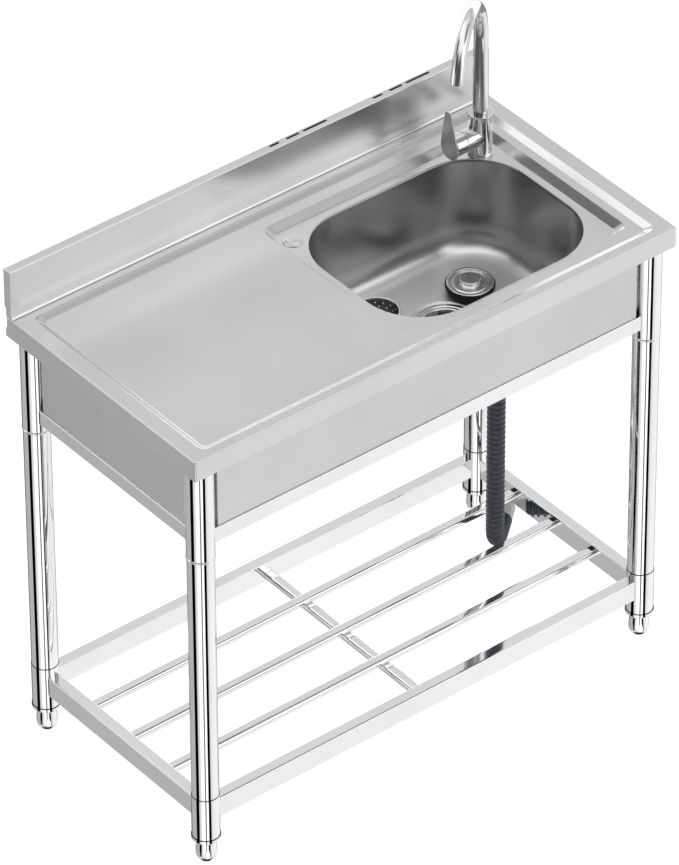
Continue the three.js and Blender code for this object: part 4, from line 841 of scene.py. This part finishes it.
# %% Column, housing and their bores
COLUMN, HOUSING, HOUSING_REACH, LEVER_Z = 20.5, 19.3, 38.5, 36.5
COLUMN_TOP = 82
over_faucet = at(FAUCET_X, FAUCET_Y, LEDGE)
along_lever = over_faucet @ at(0, 0, LEVER_Z) @ turn(-math.pi / 2, "Y")
column = raw("faucet_body_cast", moved(turned(softened([
    (0, -44), (14, -44), (14, GAP), (22, GAP), (22, 3), (21, 4.2), (COLUMN, 5), (COLUMN, 76),
    (21.7, 77), (21.7, COLUMN_TOP), (0, COLUMN_TOP)],
    [0, 0.8, 0.3, 0.4, 0.8, 0.5, 0.5, 0.4, 0.5, 1.2, 0], closed=False), 96), over_faucet))
tool(column, moved(turned([(0, 4), (HOUSING, 4), (HOUSING, HOUSING_REACH - 0.4),
                           (HOUSING - 0.4, HOUSING_REACH), (0, HOUSING_REACH)], 72), along_lever), "UNION")
stem_room = moved(rod(9.3, 57.7, 83, 48), over_faucet)
shaft_room = moved(rod(6.3, 26.2, 39.5, 32), along_lever)
inlet = moved(rod(10, -45, -14, 32), over_faucet)
tool(column, both(stem_room, shaft_room, inlet))
finished(column, faucet_steel, ["faucet_body"])
UNDER_LEDGE, SEAL_THICK = -SHEET - GAP, 2.5
faucet_seal = ring_outline(SHANK_HOLE, 18, UNDER_LEDGE - SEAL_THICK, UNDER_LEDGE)
piece("faucet_gasket_ring", moved(turned(faucet_seal, 48), over_faucet), seal_rubber, ["faucet_gasket"])
print("faucet column stands at", round(FAUCET_X, 1), round(FAUCET_Y, 1))

# %% Hexagon nuts under the ledge
def hexagon_reach(half_flat, angle):
    """How far a hexagon reaches at this angle, if its flats are half_flat from its centre."""
    return half_flat / math.cos((angle + math.pi / 6) % (math.pi / 3) - math.pi / 6)


def hexagon_nut(radius, bottom, top, bore_radius):
    """A six-sided nut with its corners turned off at both ends, and its bore."""
    rings = []
    stops = softened([(bore_radius, bottom), (radius, bottom), (radius, top), (bore_radius, top)], 0.8)
    for r, z in stops:
        ring = []
        for k in range(60):
            angle = math.pi * k / 30
            flat = hexagon_reach(radius * math.cos(math.pi / 6), angle)
            reach = min(r, flat) if r > bore_radius + 1 else r
            ring.append((reach * math.cos(angle), reach * math.sin(angle), z))
        rings.append(ring)
    return skinned(rings)


nut_top = UNDER_LEDGE - GAP - SEAL_THICK
faucet_nut = hexagon_nut(18.5, nut_top - 8, nut_top, SHANK_HOLE)
piece("faucet_nut_hexagon", moved(faucet_nut, over_faucet), faucet_steel, ["faucet_nut"], sharp=25)
cap_place = at(CAP_X, CAP_Y, LEDGE)
cap_nut = hexagon_nut(14, UNDER_LEDGE - 5, UNDER_LEDGE, CAP_HOLE)
piece("hole_cap_nut_hexagon", moved(cap_nut, cap_place), nut_plastic, ["hole_cap_nut"], sharp=25)
cap = softened([(0, -16), (9, -16), (9, GAP), (17.3, GAP), (16.6, 1.9), (12.6, 1.9), (11.6, 3.3), (0, 3.6)],
               [0, 0.6, 0.3, 0.5, 0.8, 0.5, 0.8, 0], closed=False)
piece("hole_cap_polished", moved(turned(cap, 72), cap_place), faucet_steel, ["hole_cap"])
print("spare hole cap at", round(CAP_X, 1), round(CAP_Y, 1))

# %% The gooseneck spout
SPOUT_RISE, SPOUT_BEND, SPOUT_SWEEP, SPOUT_TAIL, SPOUT_POINT = 154, 103, 2.72, 5, 0.681
SPOUT_FOOT_RADIUS, SPOUT_TIP_RADIUS, SPOUT_WALL = 13, 11, 1.5


def spout_stops():
    """Stops of (distance out, height, heading) from the spout's foot to its tip."""
    start = COLUMN_TOP + GAP
    stops = [(0, start + SPOUT_RISE * k / 8, 0) for k in range(8)]
    for k in range(49):
        angle = SPOUT_SWEEP * k / 48
        stops.append((SPOUT_BEND * (1 - math.cos(angle)), start + SPOUT_RISE + SPOUT_BEND * math.sin(angle),
                      angle))
    out, z, _ = stops[-1]
    stops.append((out + SPOUT_TAIL * math.sin(SPOUT_SWEEP), z + SPOUT_TAIL * math.cos(SPOUT_SWEEP),
                  SPOUT_SWEEP))
    return stops


def spout_ring(stop, radius, sides=56):
    out, z, heading = stop
    ring = []
    for k in range(sides):
        angle = 2 * math.pi * k / sides
        level = radius * math.sin(angle)
        ring.append((-out - level * math.cos(heading), radius * math.cos(angle),
                     z - level * math.sin(heading)))
    return ring


stops = spout_stops()
runs = np.cumsum([0] + [math.dist(a[:2], b[:2]) for a, b in zip(stops, stops[1:])])
radii = SPOUT_FOOT_RADIUS + (SPOUT_TIP_RADIUS - SPOUT_FOOT_RADIUS) * runs / runs[-1]
first = (0, stops[0][1], 0)
below = (0, first[1] - 24, 0)
rings = [spout_ring(below, 9), spout_ring(first, 9), spout_ring(first, radii[0] - 0.5),
         spout_ring((0, first[1] + 0.5, 0), radii[0])]
rings += [spout_ring(s, r) for s, r in zip(stops[1:], radii[1:])]
rings += [spout_ring(s, r - SPOUT_WALL) for s, r in zip(stops[:0:-1], radii[:0:-1])]
rings += [spout_ring((0, first[1] + 6, 0), radii[0] - SPOUT_WALL), spout_ring((0, first[1] + 2, 0), 6.5),
          spout_ring(below, 6.5)]
spout_place = over_faucet @ turn(SPOUT_POINT, "Z")
piece("faucet_spout_drawn", moved(skinned(rings), spout_place), faucet_steel, ["faucet_spout"], "spout")
out, z, heading_angle = stops[-1]
tip_place = spout_place @ at(-out, 0, z) @ turn(-heading_angle, "Y")
insert = softened([(0, -6), (9.2, -6), (9.2, 0.3), (10.2, 0.7), (10.2, 2.5), (7.2, 2.5), (7.2, 0.5),
                   (0, 0.5)], [0, 0.4, 0.3, 0.3, 0.6, 0.5, 0.3, 0], closed=False)
piece("aerator_insert", moved(turned(insert, 48), tip_place), faucet_steel, ["aerator"], "spout")
print("spout tube runs", round(float(runs[-1])), "mm")

# %% [markdown]
# The lever is a flat brushed blade. It hangs on a pin in the end of the side hub: turning the hub sets the
# temperature, and tipping the blade opens the water. The hub is turned and slotted for the blade's tongue,
# and the blade's outline is a broad lower part that tapers to a rounded tip.

# %% Lever hub, pin and blade
HUB_FACE, HUB_CHAMFER = HOUSING_REACH + GAP + 25.5, 3
PIN_DROP = 14.8
PIN_X, PIN_Z = -HUB_FACE + 5, LEVER_Z - PIN_DROP
SHAFT, SHAFT_REACH, PIN, PIN_HOLE = 6, 12, 1.5, 1.8
hub_back = HOUSING_REACH + GAP
hub_outline = softened([
    (0, HOUSING_REACH - SHAFT_REACH), (SHAFT, HOUSING_REACH - SHAFT_REACH), (SHAFT, hub_back),
    (HOUSING, hub_back), (HOUSING, HUB_FACE - HUB_CHAMFER), (HOUSING - HUB_CHAMFER, HUB_FACE), (0, HUB_FACE)],
    [0, 0.5, 0.3, 0.7, 1, 1, 0], closed=False)
hub = raw("lever_hub_turned", moved(turned(hub_outline, 72), along_lever))
tongue_room = math.hypot(9, 5) + GAP
slot_block = moved(block(-HUB_FACE - 1, PIN_X + tongue_room, -4.3, 4.3, LEVER_Z - HOUSING - 1,
                         PIN_Z + tongue_room), over_faucet)
across = over_faucet @ at(PIN_X, 0, PIN_Z) @ turn(math.pi / 2, "X")
tool(hub, slot_block)
tool(hub, moved(rod(PIN_HOLE, -17, 17, 24), across))
finished(hub, faucet_steel, ["lever_hub"], "lever_hub")
pin_half = math.sqrt(HOUSING ** 2 - PIN_DROP ** 2) - GAP
piece("lever_pin_steel", moved(rod(PIN, -pin_half, pin_half, 24), across), faucet_steel, ["lever_pin"],
      "lever_hub")
BELOW, ABOVE, HALF_BLADE, HALF_TIP, BLADE, TAPER, LEAN = 21.5, 72.5, 21.3, 8.5, 3, 0.19, 0.04


def bezier(a, b, c, d, steps=16):
    """Points on a cubic from a towards d, without d itself."""
    a, b, c, d = (np.array(p, float) for p in (a, b, c, d))
    ts = np.linspace(0, 1, steps, endpoint=False)
    return [a * (1 - t) ** 3 + b * 3 * t * (1 - t) ** 2 + c * 3 * t * t * (1 - t) + d * t ** 3 for t in ts]


def blade_outline():
    tip = ABOVE - HALF_TIP
    tip_side = (HALF_TIP * math.cos(TAPER), tip + HALF_TIP * math.sin(TAPER))
    narrow = HALF_TIP + 0.27 * (HALF_BLADE - HALF_TIP)
    line = bezier((0, -BELOW), (HALF_BLADE * 0.75, -BELOW), (HALF_BLADE, -BELOW * 0.55), (HALF_BLADE, 0))
    line += bezier((HALF_BLADE, 0), (HALF_BLADE, ABOVE * 0.13), (narrow, ABOVE * 0.62), tip_side)
    line += [np.array((HALF_TIP * math.cos(a), tip + HALF_TIP * math.sin(a)))
             for a in np.linspace(TAPER, math.pi / 2, 9)]
    mirrored = [np.array((-p[0], p[1])) for p in line[-2:0:-1]]
    return line + mirrored


def blade_rings(line, thickness, edge):
    """Rings from the back of the blade to its front, drawn in along both edges."""
    count = len(line)
    tangents = [line[(i + 1) % count] - line[i - 1] for i in range(count)]
    inwards = [np.array((-t[1], t[0])) / np.linalg.norm(t) for t in tangents]
    angles = np.linspace(0, math.pi / 2, 5)
    stops = [(edge * (1 - math.sin(a)), edge * (1 - math.cos(a))) for a in angles]
    stops += [(by, thickness - depth) for by, depth in stops[::-1]]
    return [[(-depth, p[0] + by * n[0], p[1] + by * n[1]) for p, n in zip(line, inwards)]
            for by, depth in stops]


lean = over_faucet @ at(-HUB_FACE - GAP, 0, LEVER_Z) @ turn(-LEAN, "X")
blade = raw("lever_blade_brushed", moved(skinned(blade_rings(blade_outline(), BLADE, 0.9), loop=False,
                                                 caps=True), lean))
tongue = moved(block(-HUB_FACE - GAP - 0.5, PIN_X + 4, -4, 4, PIN_Z - 3, PIN_Z + 5), over_faucet)
tool(blade, tongue, "UNION")
tool(blade, moved(rod(PIN_HOLE, -6, 6, 24), across))
finished(blade, lever_steel, ["lever_blade"], "lever")
print("lever blade:", len(blade.data.polygons), "faces")

# %% [markdown]
# ## Legs
# Each leg comes in parts: a socket with a rolled foot fixed under the worktop, a long tube plugged into it,
# a sleeve at the shelf and a collar that takes the levelling foot. All are turned outlines. The foot is a
# bullet with six flats ground on it for a spanner, so its radius is held under the flats all the way round.

# %% Sockets, tubes, sleeves, collars and feet
LEG_X, LEG_Y, SOCKET, LEG, TUBE_WALL = 467.5, 217.5, 23.7, 23, 1.4
BEAD = SOCKET + 0.9
LEG_TOP, SOCKET_FOOT, SLEEVE_TOP, SLEEVE_FOOT = DRAIN_FLOOR - SHEET - GAP, 633, 138, 53.3
SPIGOT, PLUG = SOCKET - TUBE_WALL - GAP, 40
TUBE_FOOT, TUBE_HEAD = SLEEVE_TOP + GAP, SOCKET_FOOT - GAP
FOOT_HEIGHT, FLATS = 43, 17.2
leg_pieces = {
    "leg_socket": [(SOCKET - TUBE_WALL, SOCKET_FOOT), (BEAD, SOCKET_FOOT), (BEAD, SOCKET_FOOT + 3.4),
                   (SOCKET, SOCKET_FOOT + 4.6), (SOCKET, LEG_TOP), (SOCKET - TUBE_WALL, LEG_TOP)],
    "leg_tube": [(SPIGOT - TUBE_WALL, TUBE_FOOT - PLUG), (SPIGOT, TUBE_FOOT - PLUG), (SPIGOT, TUBE_FOOT),
                 (LEG, TUBE_FOOT), (LEG, TUBE_HEAD), (SPIGOT, TUBE_HEAD), (SPIGOT, TUBE_HEAD + PLUG),
                 (SPIGOT - TUBE_WALL, TUBE_HEAD + PLUG)],
    "leg_sleeve": [(SOCKET - TUBE_WALL, SLEEVE_FOOT), (SOCKET, SLEEVE_FOOT), (SOCKET, SLEEVE_TOP),
                   (SOCKET - TUBE_WALL, SLEEVE_TOP)],
    "leg_collar": [(5.3, FOOT_HEIGHT), (21.8, FOOT_HEIGHT), (24.8, FOOT_HEIGHT + 3.6), (24.8, 53),
                   (SPIGOT, 53), (SPIGOT, 68), (5.3, 68)],
}
foot_outline = softened([(0, 0), (12.5, 0), (17.2, 8), (18, 16), (17.2, 26), (16.5, 42.7), (5, 42.7),
                         (5, 88.7), (0, 88.7)], [0, 1.2, 3, 4, 4, 0.8, 0.4, 0.6, 0], closed=False)


def levelling_foot():
    rings = []
    for r, z in foot_outline:
        ring = []
        for k in range(96):
            angle = 2 * math.pi * k / 96
            reach = min(r, hexagon_reach(FLATS, angle))
            ring.append((reach * math.cos(angle), reach * math.sin(angle), z))
        rings.append(ring)
    return skinned(rings, loop=False)


CORNERS = {"fl": (-1, -1), "fr": (1, -1), "rl": (-1, 1), "rr": (1, 1)}
for corner, (side_x, side_y) in CORNERS.items():
    stand = at(side_x * LEG_X, side_y * LEG_Y)
    for part, outline in leg_pieces.items():
        node = f"{part}_{corner}"
        rolled = [0.5, 1.6, 1.6, 0.5, 0.5, 0.5] if part == "leg_socket" else 0.5
        piece(f"{node}_bright", moved(turned(softened(outline, rolled, 4), 80), stand), mirror_leg, [node])
    piece(f"foot_{corner}_bright", moved(levelling_foot(), stand), mirror_leg, [f"foot_{corner}"],
          f"foot_{corner}", sharp=20)
print("legs stand", 2 * LEG_X, "by", 2 * LEG_Y, "mm apart")

# %% [markdown]
# ## Rails and shelf bars
# The rails are thin rectangular tube, coped at both ends to sit against the round legs and welded there. A
# cope could be cut with a boolean, but each point of the tube's section ends where the leg's circle is at
# that depth, so the ends are placed by that rule. Three bars and a cross bar make the shelf.

# %% Coped rails, aprons and bars
COPE = SOCKET + GAP


def section(half_width, half_height, radius, across_steps=10, corner_steps=5):
    """Points (y, z) round a rectangular tube, close together on its level sides, where a cope curves."""
    ring = [(p[0], p[1]) for p in rounded_ring(-half_width, half_width, -half_height, half_height, radius, 0,
                                               corner_steps)]
    dense = []
    for i, here in enumerate(ring):
        after = ring[(i + 1) % len(ring)]
        level = abs(here[1] - after[1]) < 1e-6 and abs(here[0] - after[0]) > 1
        count = across_steps if level else 1
        dense += [(here[0] + (after[0] - here[0]) * k / count, here[1]) for k in range(count)]
    return dense


def coped_rail(spacing, rail_width, rail_height, wall=1.2, radius=2):
    outside = section(rail_width / 2, rail_height / 2, radius)
    inside = section(rail_width / 2 - wall, rail_height / 2 - wall, max(radius - wall, 0.4))

    def end_ring(points, side):
        return [(side * (spacing / 2 - math.sqrt(COPE ** 2 - y * y)), y, z) for y, z in points]
    return skinned([end_ring(outside, -1), end_ring(outside, 1), end_ring(inside, 1), end_ring(inside, -1)])


def plain_bar(length, bar_width=20, bar_height=13, radius=5, wall=1.2):
    rings = []
    for by, side in ((0, -1), (0, 1), (wall, 1), (wall, -1)):
        across, up = bar_width / 2 - by, bar_height / 2 - by
        ring = rounded_ring(-across, across, -up, up, radius - by, 0, 8)
        rings.append([(side * length / 2, y, z) for y, z, _ in ring])
    return skinned(rings)


def apron(spacing, face, bottom, top, flange=12, metal=1):
    """A pressed pan facing -Y, with its edges turned in towards the unit."""
    reach = spacing / 2 - SOCKET - 5.8
    back = (-reach + metal, reach - metal, bottom + metal, top - metal)
    flat = 0.5 * (top - bottom)
    line = (-reach + flat, reach - flat, 0.5 * (bottom + top), 0.5 * (bottom + top))
    front = (-reach, reach, bottom, top)
    pan = pressed([(*line, 0, 0), (*front, 1.5, 0), (*front, 1.5, flange), (*back, 0.8, flange),
                   (*back, 0.8, metal), (*line, 0, metal)], [0, 1.6, 0.3, 0.3, 0.9, 0], corner_steps=4,
                  closed=False)
    stand = Matrix(((1, 0, 0, 0), (0, 0, 1, -face), (0, 1, 0, 0), (0, 0, 0, 1)))
    return moved(pan, stand)


RAILS = {"upper_rail": (21, 29, 670.5), "shelf_rail": (21.7, 40, 102)}
APRON_FOOT, APRON_OUT = 685.3, 8.1
BAR_SPACING, BAR_Z, CROSS_BAR_Z = 103.5, 107, 93.7
SIDES = {"front": (0, 2 * LEG_X, LEG_Y), "right": (1, 2 * LEG_Y, LEG_X), "rear": (2, 2 * LEG_X, LEG_Y),
         "left": (3, 2 * LEG_Y, LEG_X)}
for side, (quarter, spacing, line) in SIDES.items():
    round_unit = turn(quarter * math.pi / 2, "Z")
    rail_finish = mirror_rail if quarter % 2 == 0 else mirror_cross
    sheet_finish = satin_apron if quarter % 2 == 0 else satin_side
    for rail, (rail_width, rail_height, rail_z) in RAILS.items():
        tube = coped_rail(spacing, rail_width, rail_height)
        piece(f"{rail}_{side}_coped", moved(tube, round_unit @ at(0, -line, rail_z)), rail_finish,
              [f"{rail}_{side}"])
    pan = apron(spacing, line + APRON_OUT, APRON_FOOT, LEG_TOP)
    piece(f"apron_{side}_pressed", moved(pan, round_unit), sheet_finish, [f"apron_{side}"])
BAR_LENGTH, CROSS_BAR_LENGTH = (2 * leg - RAILS["shelf_rail"][0] - 2 * GAP for leg in (LEG_X, LEG_Y))
for name, side in (("front", -1), ("middle", 0), ("rear", 1)):
    piece(f"shelf_bar_{name}_bright", moved(plain_bar(BAR_LENGTH), at(0, side * BAR_SPACING, BAR_Z)),
          mirror_rail, [f"shelf_bar_{name}"])
under_bars = at(0, 0, CROSS_BAR_Z) @ turn(math.pi / 2, "Z")
piece("shelf_cross_bar_bright", moved(plain_bar(CROSS_BAR_LENGTH), under_bars), mirror_cross,
      ["shelf_cross_bar"])
print("rails and bars placed; bars are", round(BAR_LENGTH, 1), "mm long")

# %% [markdown]
# ## Studio
# Mirror-bright tube shows nothing but what stands around it, so in a plain white world it would vanish. This
# studio gives it form with white cards, a grey side, narrow black flags for the dark edges and a dark end
# behind the camera. They stand where the photograph's camera sees them mirrored in the unit's surfaces, so
# the tones match from there and differ from other sides. The black flags are low and short, and nearer the
# horizon the room has greys only, so that a flat rail seen level from the front doesn't turn black. Only
# glossy rays see this room. The camera and glass see plain white, and all other rays plain even light. The
# floor keeps a faint shadow.

# %% World
# Each stop is a bearing, in degrees from +X, and the light there: steeply down, then nearer the horizon.
AZIMUTH_STOPS = [
    (0, 0.9), (18, 0.9), (22, 0.28), (46, 0.28), (52, 0.12), (88, 0.12), (98, 0.46), (153, 0.5), (154, 0.0),
    (181, 0.0), (183, 0.72), (198, 0.78), (204, 1.25), (229, 1.3), (232, 0.1), (239, 0.1), (241, 1.3),
    (257, 1.3), (258, 0.0), (278, 0.0), (280, 0.74), (292, 0.86), (305, 0.95), (345, 1.0),
]
LEVEL_STOPS = [
    (0, 0.85), (18, 0.85), (22, 0.28), (46, 0.28), (52, 0.12), (88, 0.12), (98, 0.46), (150, 0.55),
    (158, 0.25), (166, 0.25), (172, 0.6), (200, 0.7), (222, 0.78), (228, 0.25), (236, 0.25), (242, 0.78),
    (285, 0.8), (291, 0.25), (299, 0.25), (306, 0.85), (345, 0.88),
]
# A direction's height goes from -1 straight down to 1 straight up. Each pair is where one light fades.
OVERHEAD_STOPS = [(0, 0.68), (0.5, 0.62), (0.75, 0.84), (1, 1.2)]
FLAG_FOOT, FLAG_TOP, FLOOR_FADE, DOWN_FADE = (-0.74, -0.7), (-0.52, -0.46), (-0.85, -0.72), (-0.92, -0.87)
HORIZON, STRIP_EDGE = (-0.04, 0.08), (0.26, 0.4)
# Each card is a bearing, an elevation, the cosines of its outer and its inner edge, and its light.
HIGH_CARDS = [
    (231, 15, 0.62, 0.88, 0.1), (308, 36, 0.84, 0.95, 1.34), (331, 51, 0.935, 0.965, 0.34),
    (100, 54, 0.94, 0.98, 1.35), (133, 33, 0.965, 0.99, 0.02), (176, 36, 0.94, 0.975, 0.05),
]
EDGE_CARDS = [(146, 0, 0.97, 0.99, 1.7), (300, 4, 0.97, 0.99, 1.6)]
# The strip is a level band of the brightest light, round the bearing that the camera looks towards.
STRIP_CARD = (51.2, 0, 0.6, 0.85)
BRIGHTEST, EVEN_LIGHT, NEAR_FLOOR, STRAIGHT_DOWN = 2.0, 0.95, 0.9, 0.03
world = bpy.data.worlds.new("white_studio")
world.use_nodes = True
bpy.context.scene.world = world
sky = world.node_tree
sky.nodes.clear()
direction = add_node(sky, "ShaderNodeTexCoord").outputs["Generated"]
parts = add_node(sky, "ShaderNodeSeparateXYZ", {0: direction})
bearing = add_node(sky, "ShaderNodeMath", {0: parts.outputs["Y"], 1: parts.outputs["X"]}, operation="ARCTAN2")
share = add_node(sky, "ShaderNodeMath", {0: bearing.outputs[0], 1: 2 * math.pi}, operation="DIVIDE")
wrapped = add_node(sky, "ShaderNodeMath", {0: share.outputs[0], 1: 1.0, 2: 0.0}, operation="WRAP")


def grey(light):
    return (light / BRIGHTEST, light / BRIGHTEST, light / BRIGHTEST, 1)


def ramp(tree, value, stops):
    """A colour ramp of grey lights, stored as shares of the brightest because a ramp ends at 1."""
    node = add_node(tree, "ShaderNodeValToRGB", {"Fac": value})
    elements = node.color_ramp.elements
    while len(elements) < len(stops):
        elements.new(0.5)
    for element, (position, light) in zip(elements, stops):
        element.position = position
        element.color = grey(light)
    return node.outputs["Color"]


def facing(azimuth, elevation, outer, inner):
    """1 inside a round patch of the room in this direction, 0 outside it, by cosines of its two radii."""
    a, e = math.radians(azimuth), math.radians(elevation)
    towards = (math.cos(a) * math.cos(e), math.sin(a) * math.cos(e), math.sin(e))
    near = add_node(sky, "ShaderNodeVectorMath", {0: direction, 1: towards}, operation="DOT_PRODUCT")
    return between(sky, near.outputs["Value"], 0, 1, outer, inner)


def blended(weight, under, over):
    return add_node(sky, "ShaderNodeMix", {"Factor": weight, 6: under, 7: over}, data_type="RGBA").outputs[2]


def with_cards(under, cards):
    for azimuth, elevation, outer, inner, light in cards:
        under = blended(facing(azimuth, elevation, outer, inner), under, grey(light))
    return under


height = parts.outputs["Z"]
steep, level_room = (ramp(sky, wrapped.outputs[0], [(a / 360, light) for a, light in stops])
                     for stops in (AZIMUTH_STOPS, LEVEL_STOPS))
flag_ends = {0: between(sky, height, 0, 1, *FLAG_FOOT), 1: between(sky, height, 1, 0, *FLAG_TOP)}
flag_height = add_node(sky, "ShaderNodeMath", flag_ends, operation="MULTIPLY")
low_room = blended(flag_height.outputs[0], level_room, steep)
low_room = blended(between(sky, height, 1, 0, *FLOOR_FADE), low_room, grey(NEAR_FLOOR))
low_room = blended(between(sky, height, 1, 0, *DOWN_FADE), low_room, grey(STRAIGHT_DOWN))
high_room = with_cards(ramp(sky, between(sky, height, 0, 1, 0, 1), OVERHEAD_STOPS), HIGH_CARDS)
room = blended(between(sky, height, 0, 1, *HORIZON), low_room, high_room)
level = add_node(sky, "ShaderNodeMath", {0: height}, operation="ABSOLUTE")
strip = add_node(sky, "ShaderNodeMath", {
    0: between(sky, level.outputs[0], 1, 0, *STRIP_EDGE), 1: facing(*STRIP_CARD)}, operation="MULTIPLY")
room = with_cards(blended(strip.outputs[0], room, grey(BRIGHTEST)), EDGE_CARDS)
rays = add_node(sky, "ShaderNodeLightPath")
even = add_node(sky, "ShaderNodeBackground", {"Color": (1, 1, 1, 1), "Strength": EVEN_LIGHT})
white = add_node(sky, "ShaderNodeBackground", {"Color": (1, 1, 1, 1), "Strength": 1.0})
seen = add_node(sky, "ShaderNodeBackground", {"Color": room, "Strength": BRIGHTEST})
shiny = add_node(sky, "ShaderNodeMixShader", {0: rays.outputs["Is Glossy Ray"], 1: even.outputs[0],
                                              2: seen.outputs[0]})
plain = add_node(sky, "ShaderNodeMath", {
    0: rays.outputs["Is Camera Ray"], 1: rays.outputs["Is Transmission Ray"]}, operation="MAXIMUM")
final = add_node(sky, "ShaderNodeMixShader", {0: plain.outputs[0], 1: shiny.outputs[0], 2: white.outputs[0]})
add_node(sky, "ShaderNodeOutputWorld", {"Surface": final.outputs[0]})
print("studio world:", len(sky.nodes), "nodes")

# %% Floor
FLOOR_SIZE, FLOOR_DROP, FLOOR_GLOW, FLOOR_GREY = 30, 0.0005, 0.8, 0.36
floor_material, floor_tree, floor_shader = new_material("white_studio_floor", {
    "Base Color": linear("#f2f2f2"), "Roughness": 0.9, "Specular IOR Level": 0.0})
glow = add_node(floor_tree, "ShaderNodeEmission", {"Color": (1, 1, 1, 1), "Strength": FLOOR_GLOW})
matt = add_node(floor_tree, "ShaderNodeBsdfDiffuse", {"Color": (FLOOR_GREY, FLOOR_GREY, FLOOR_GREY, 1)})
lit = add_node(floor_tree, "ShaderNodeAddShader", {0: glow.outputs[0], 1: matt.outputs[0]})
floor_rays = add_node(floor_tree, "ShaderNodeLightPath")
mixed = add_node(floor_tree, "ShaderNodeMixShader", {
    0: floor_rays.outputs["Is Camera Ray"], 1: floor_shader.outputs[0], 2: lit.outputs[0]})
floor_tree.links.new(mixed.outputs[0], floor_tree.nodes["Material Output"].inputs["Surface"])
floor = raw("studio_floor", (np.array([(-1, -1, 0), (1, -1, 0), (1, 1, 0), (-1, 1, 0)], float)
                             * FLOOR_SIZE / 2 / MM + np.array((0, 0, -FLOOR_DROP / MM)), [(0, 1, 2, 3)]))
floor.data.materials.append(floor_material)
floor.visible_glossy = False
bpy.context.scene.view_settings.view_transform = "Standard"
print("floor is", FLOOR_SIZE, "m across")
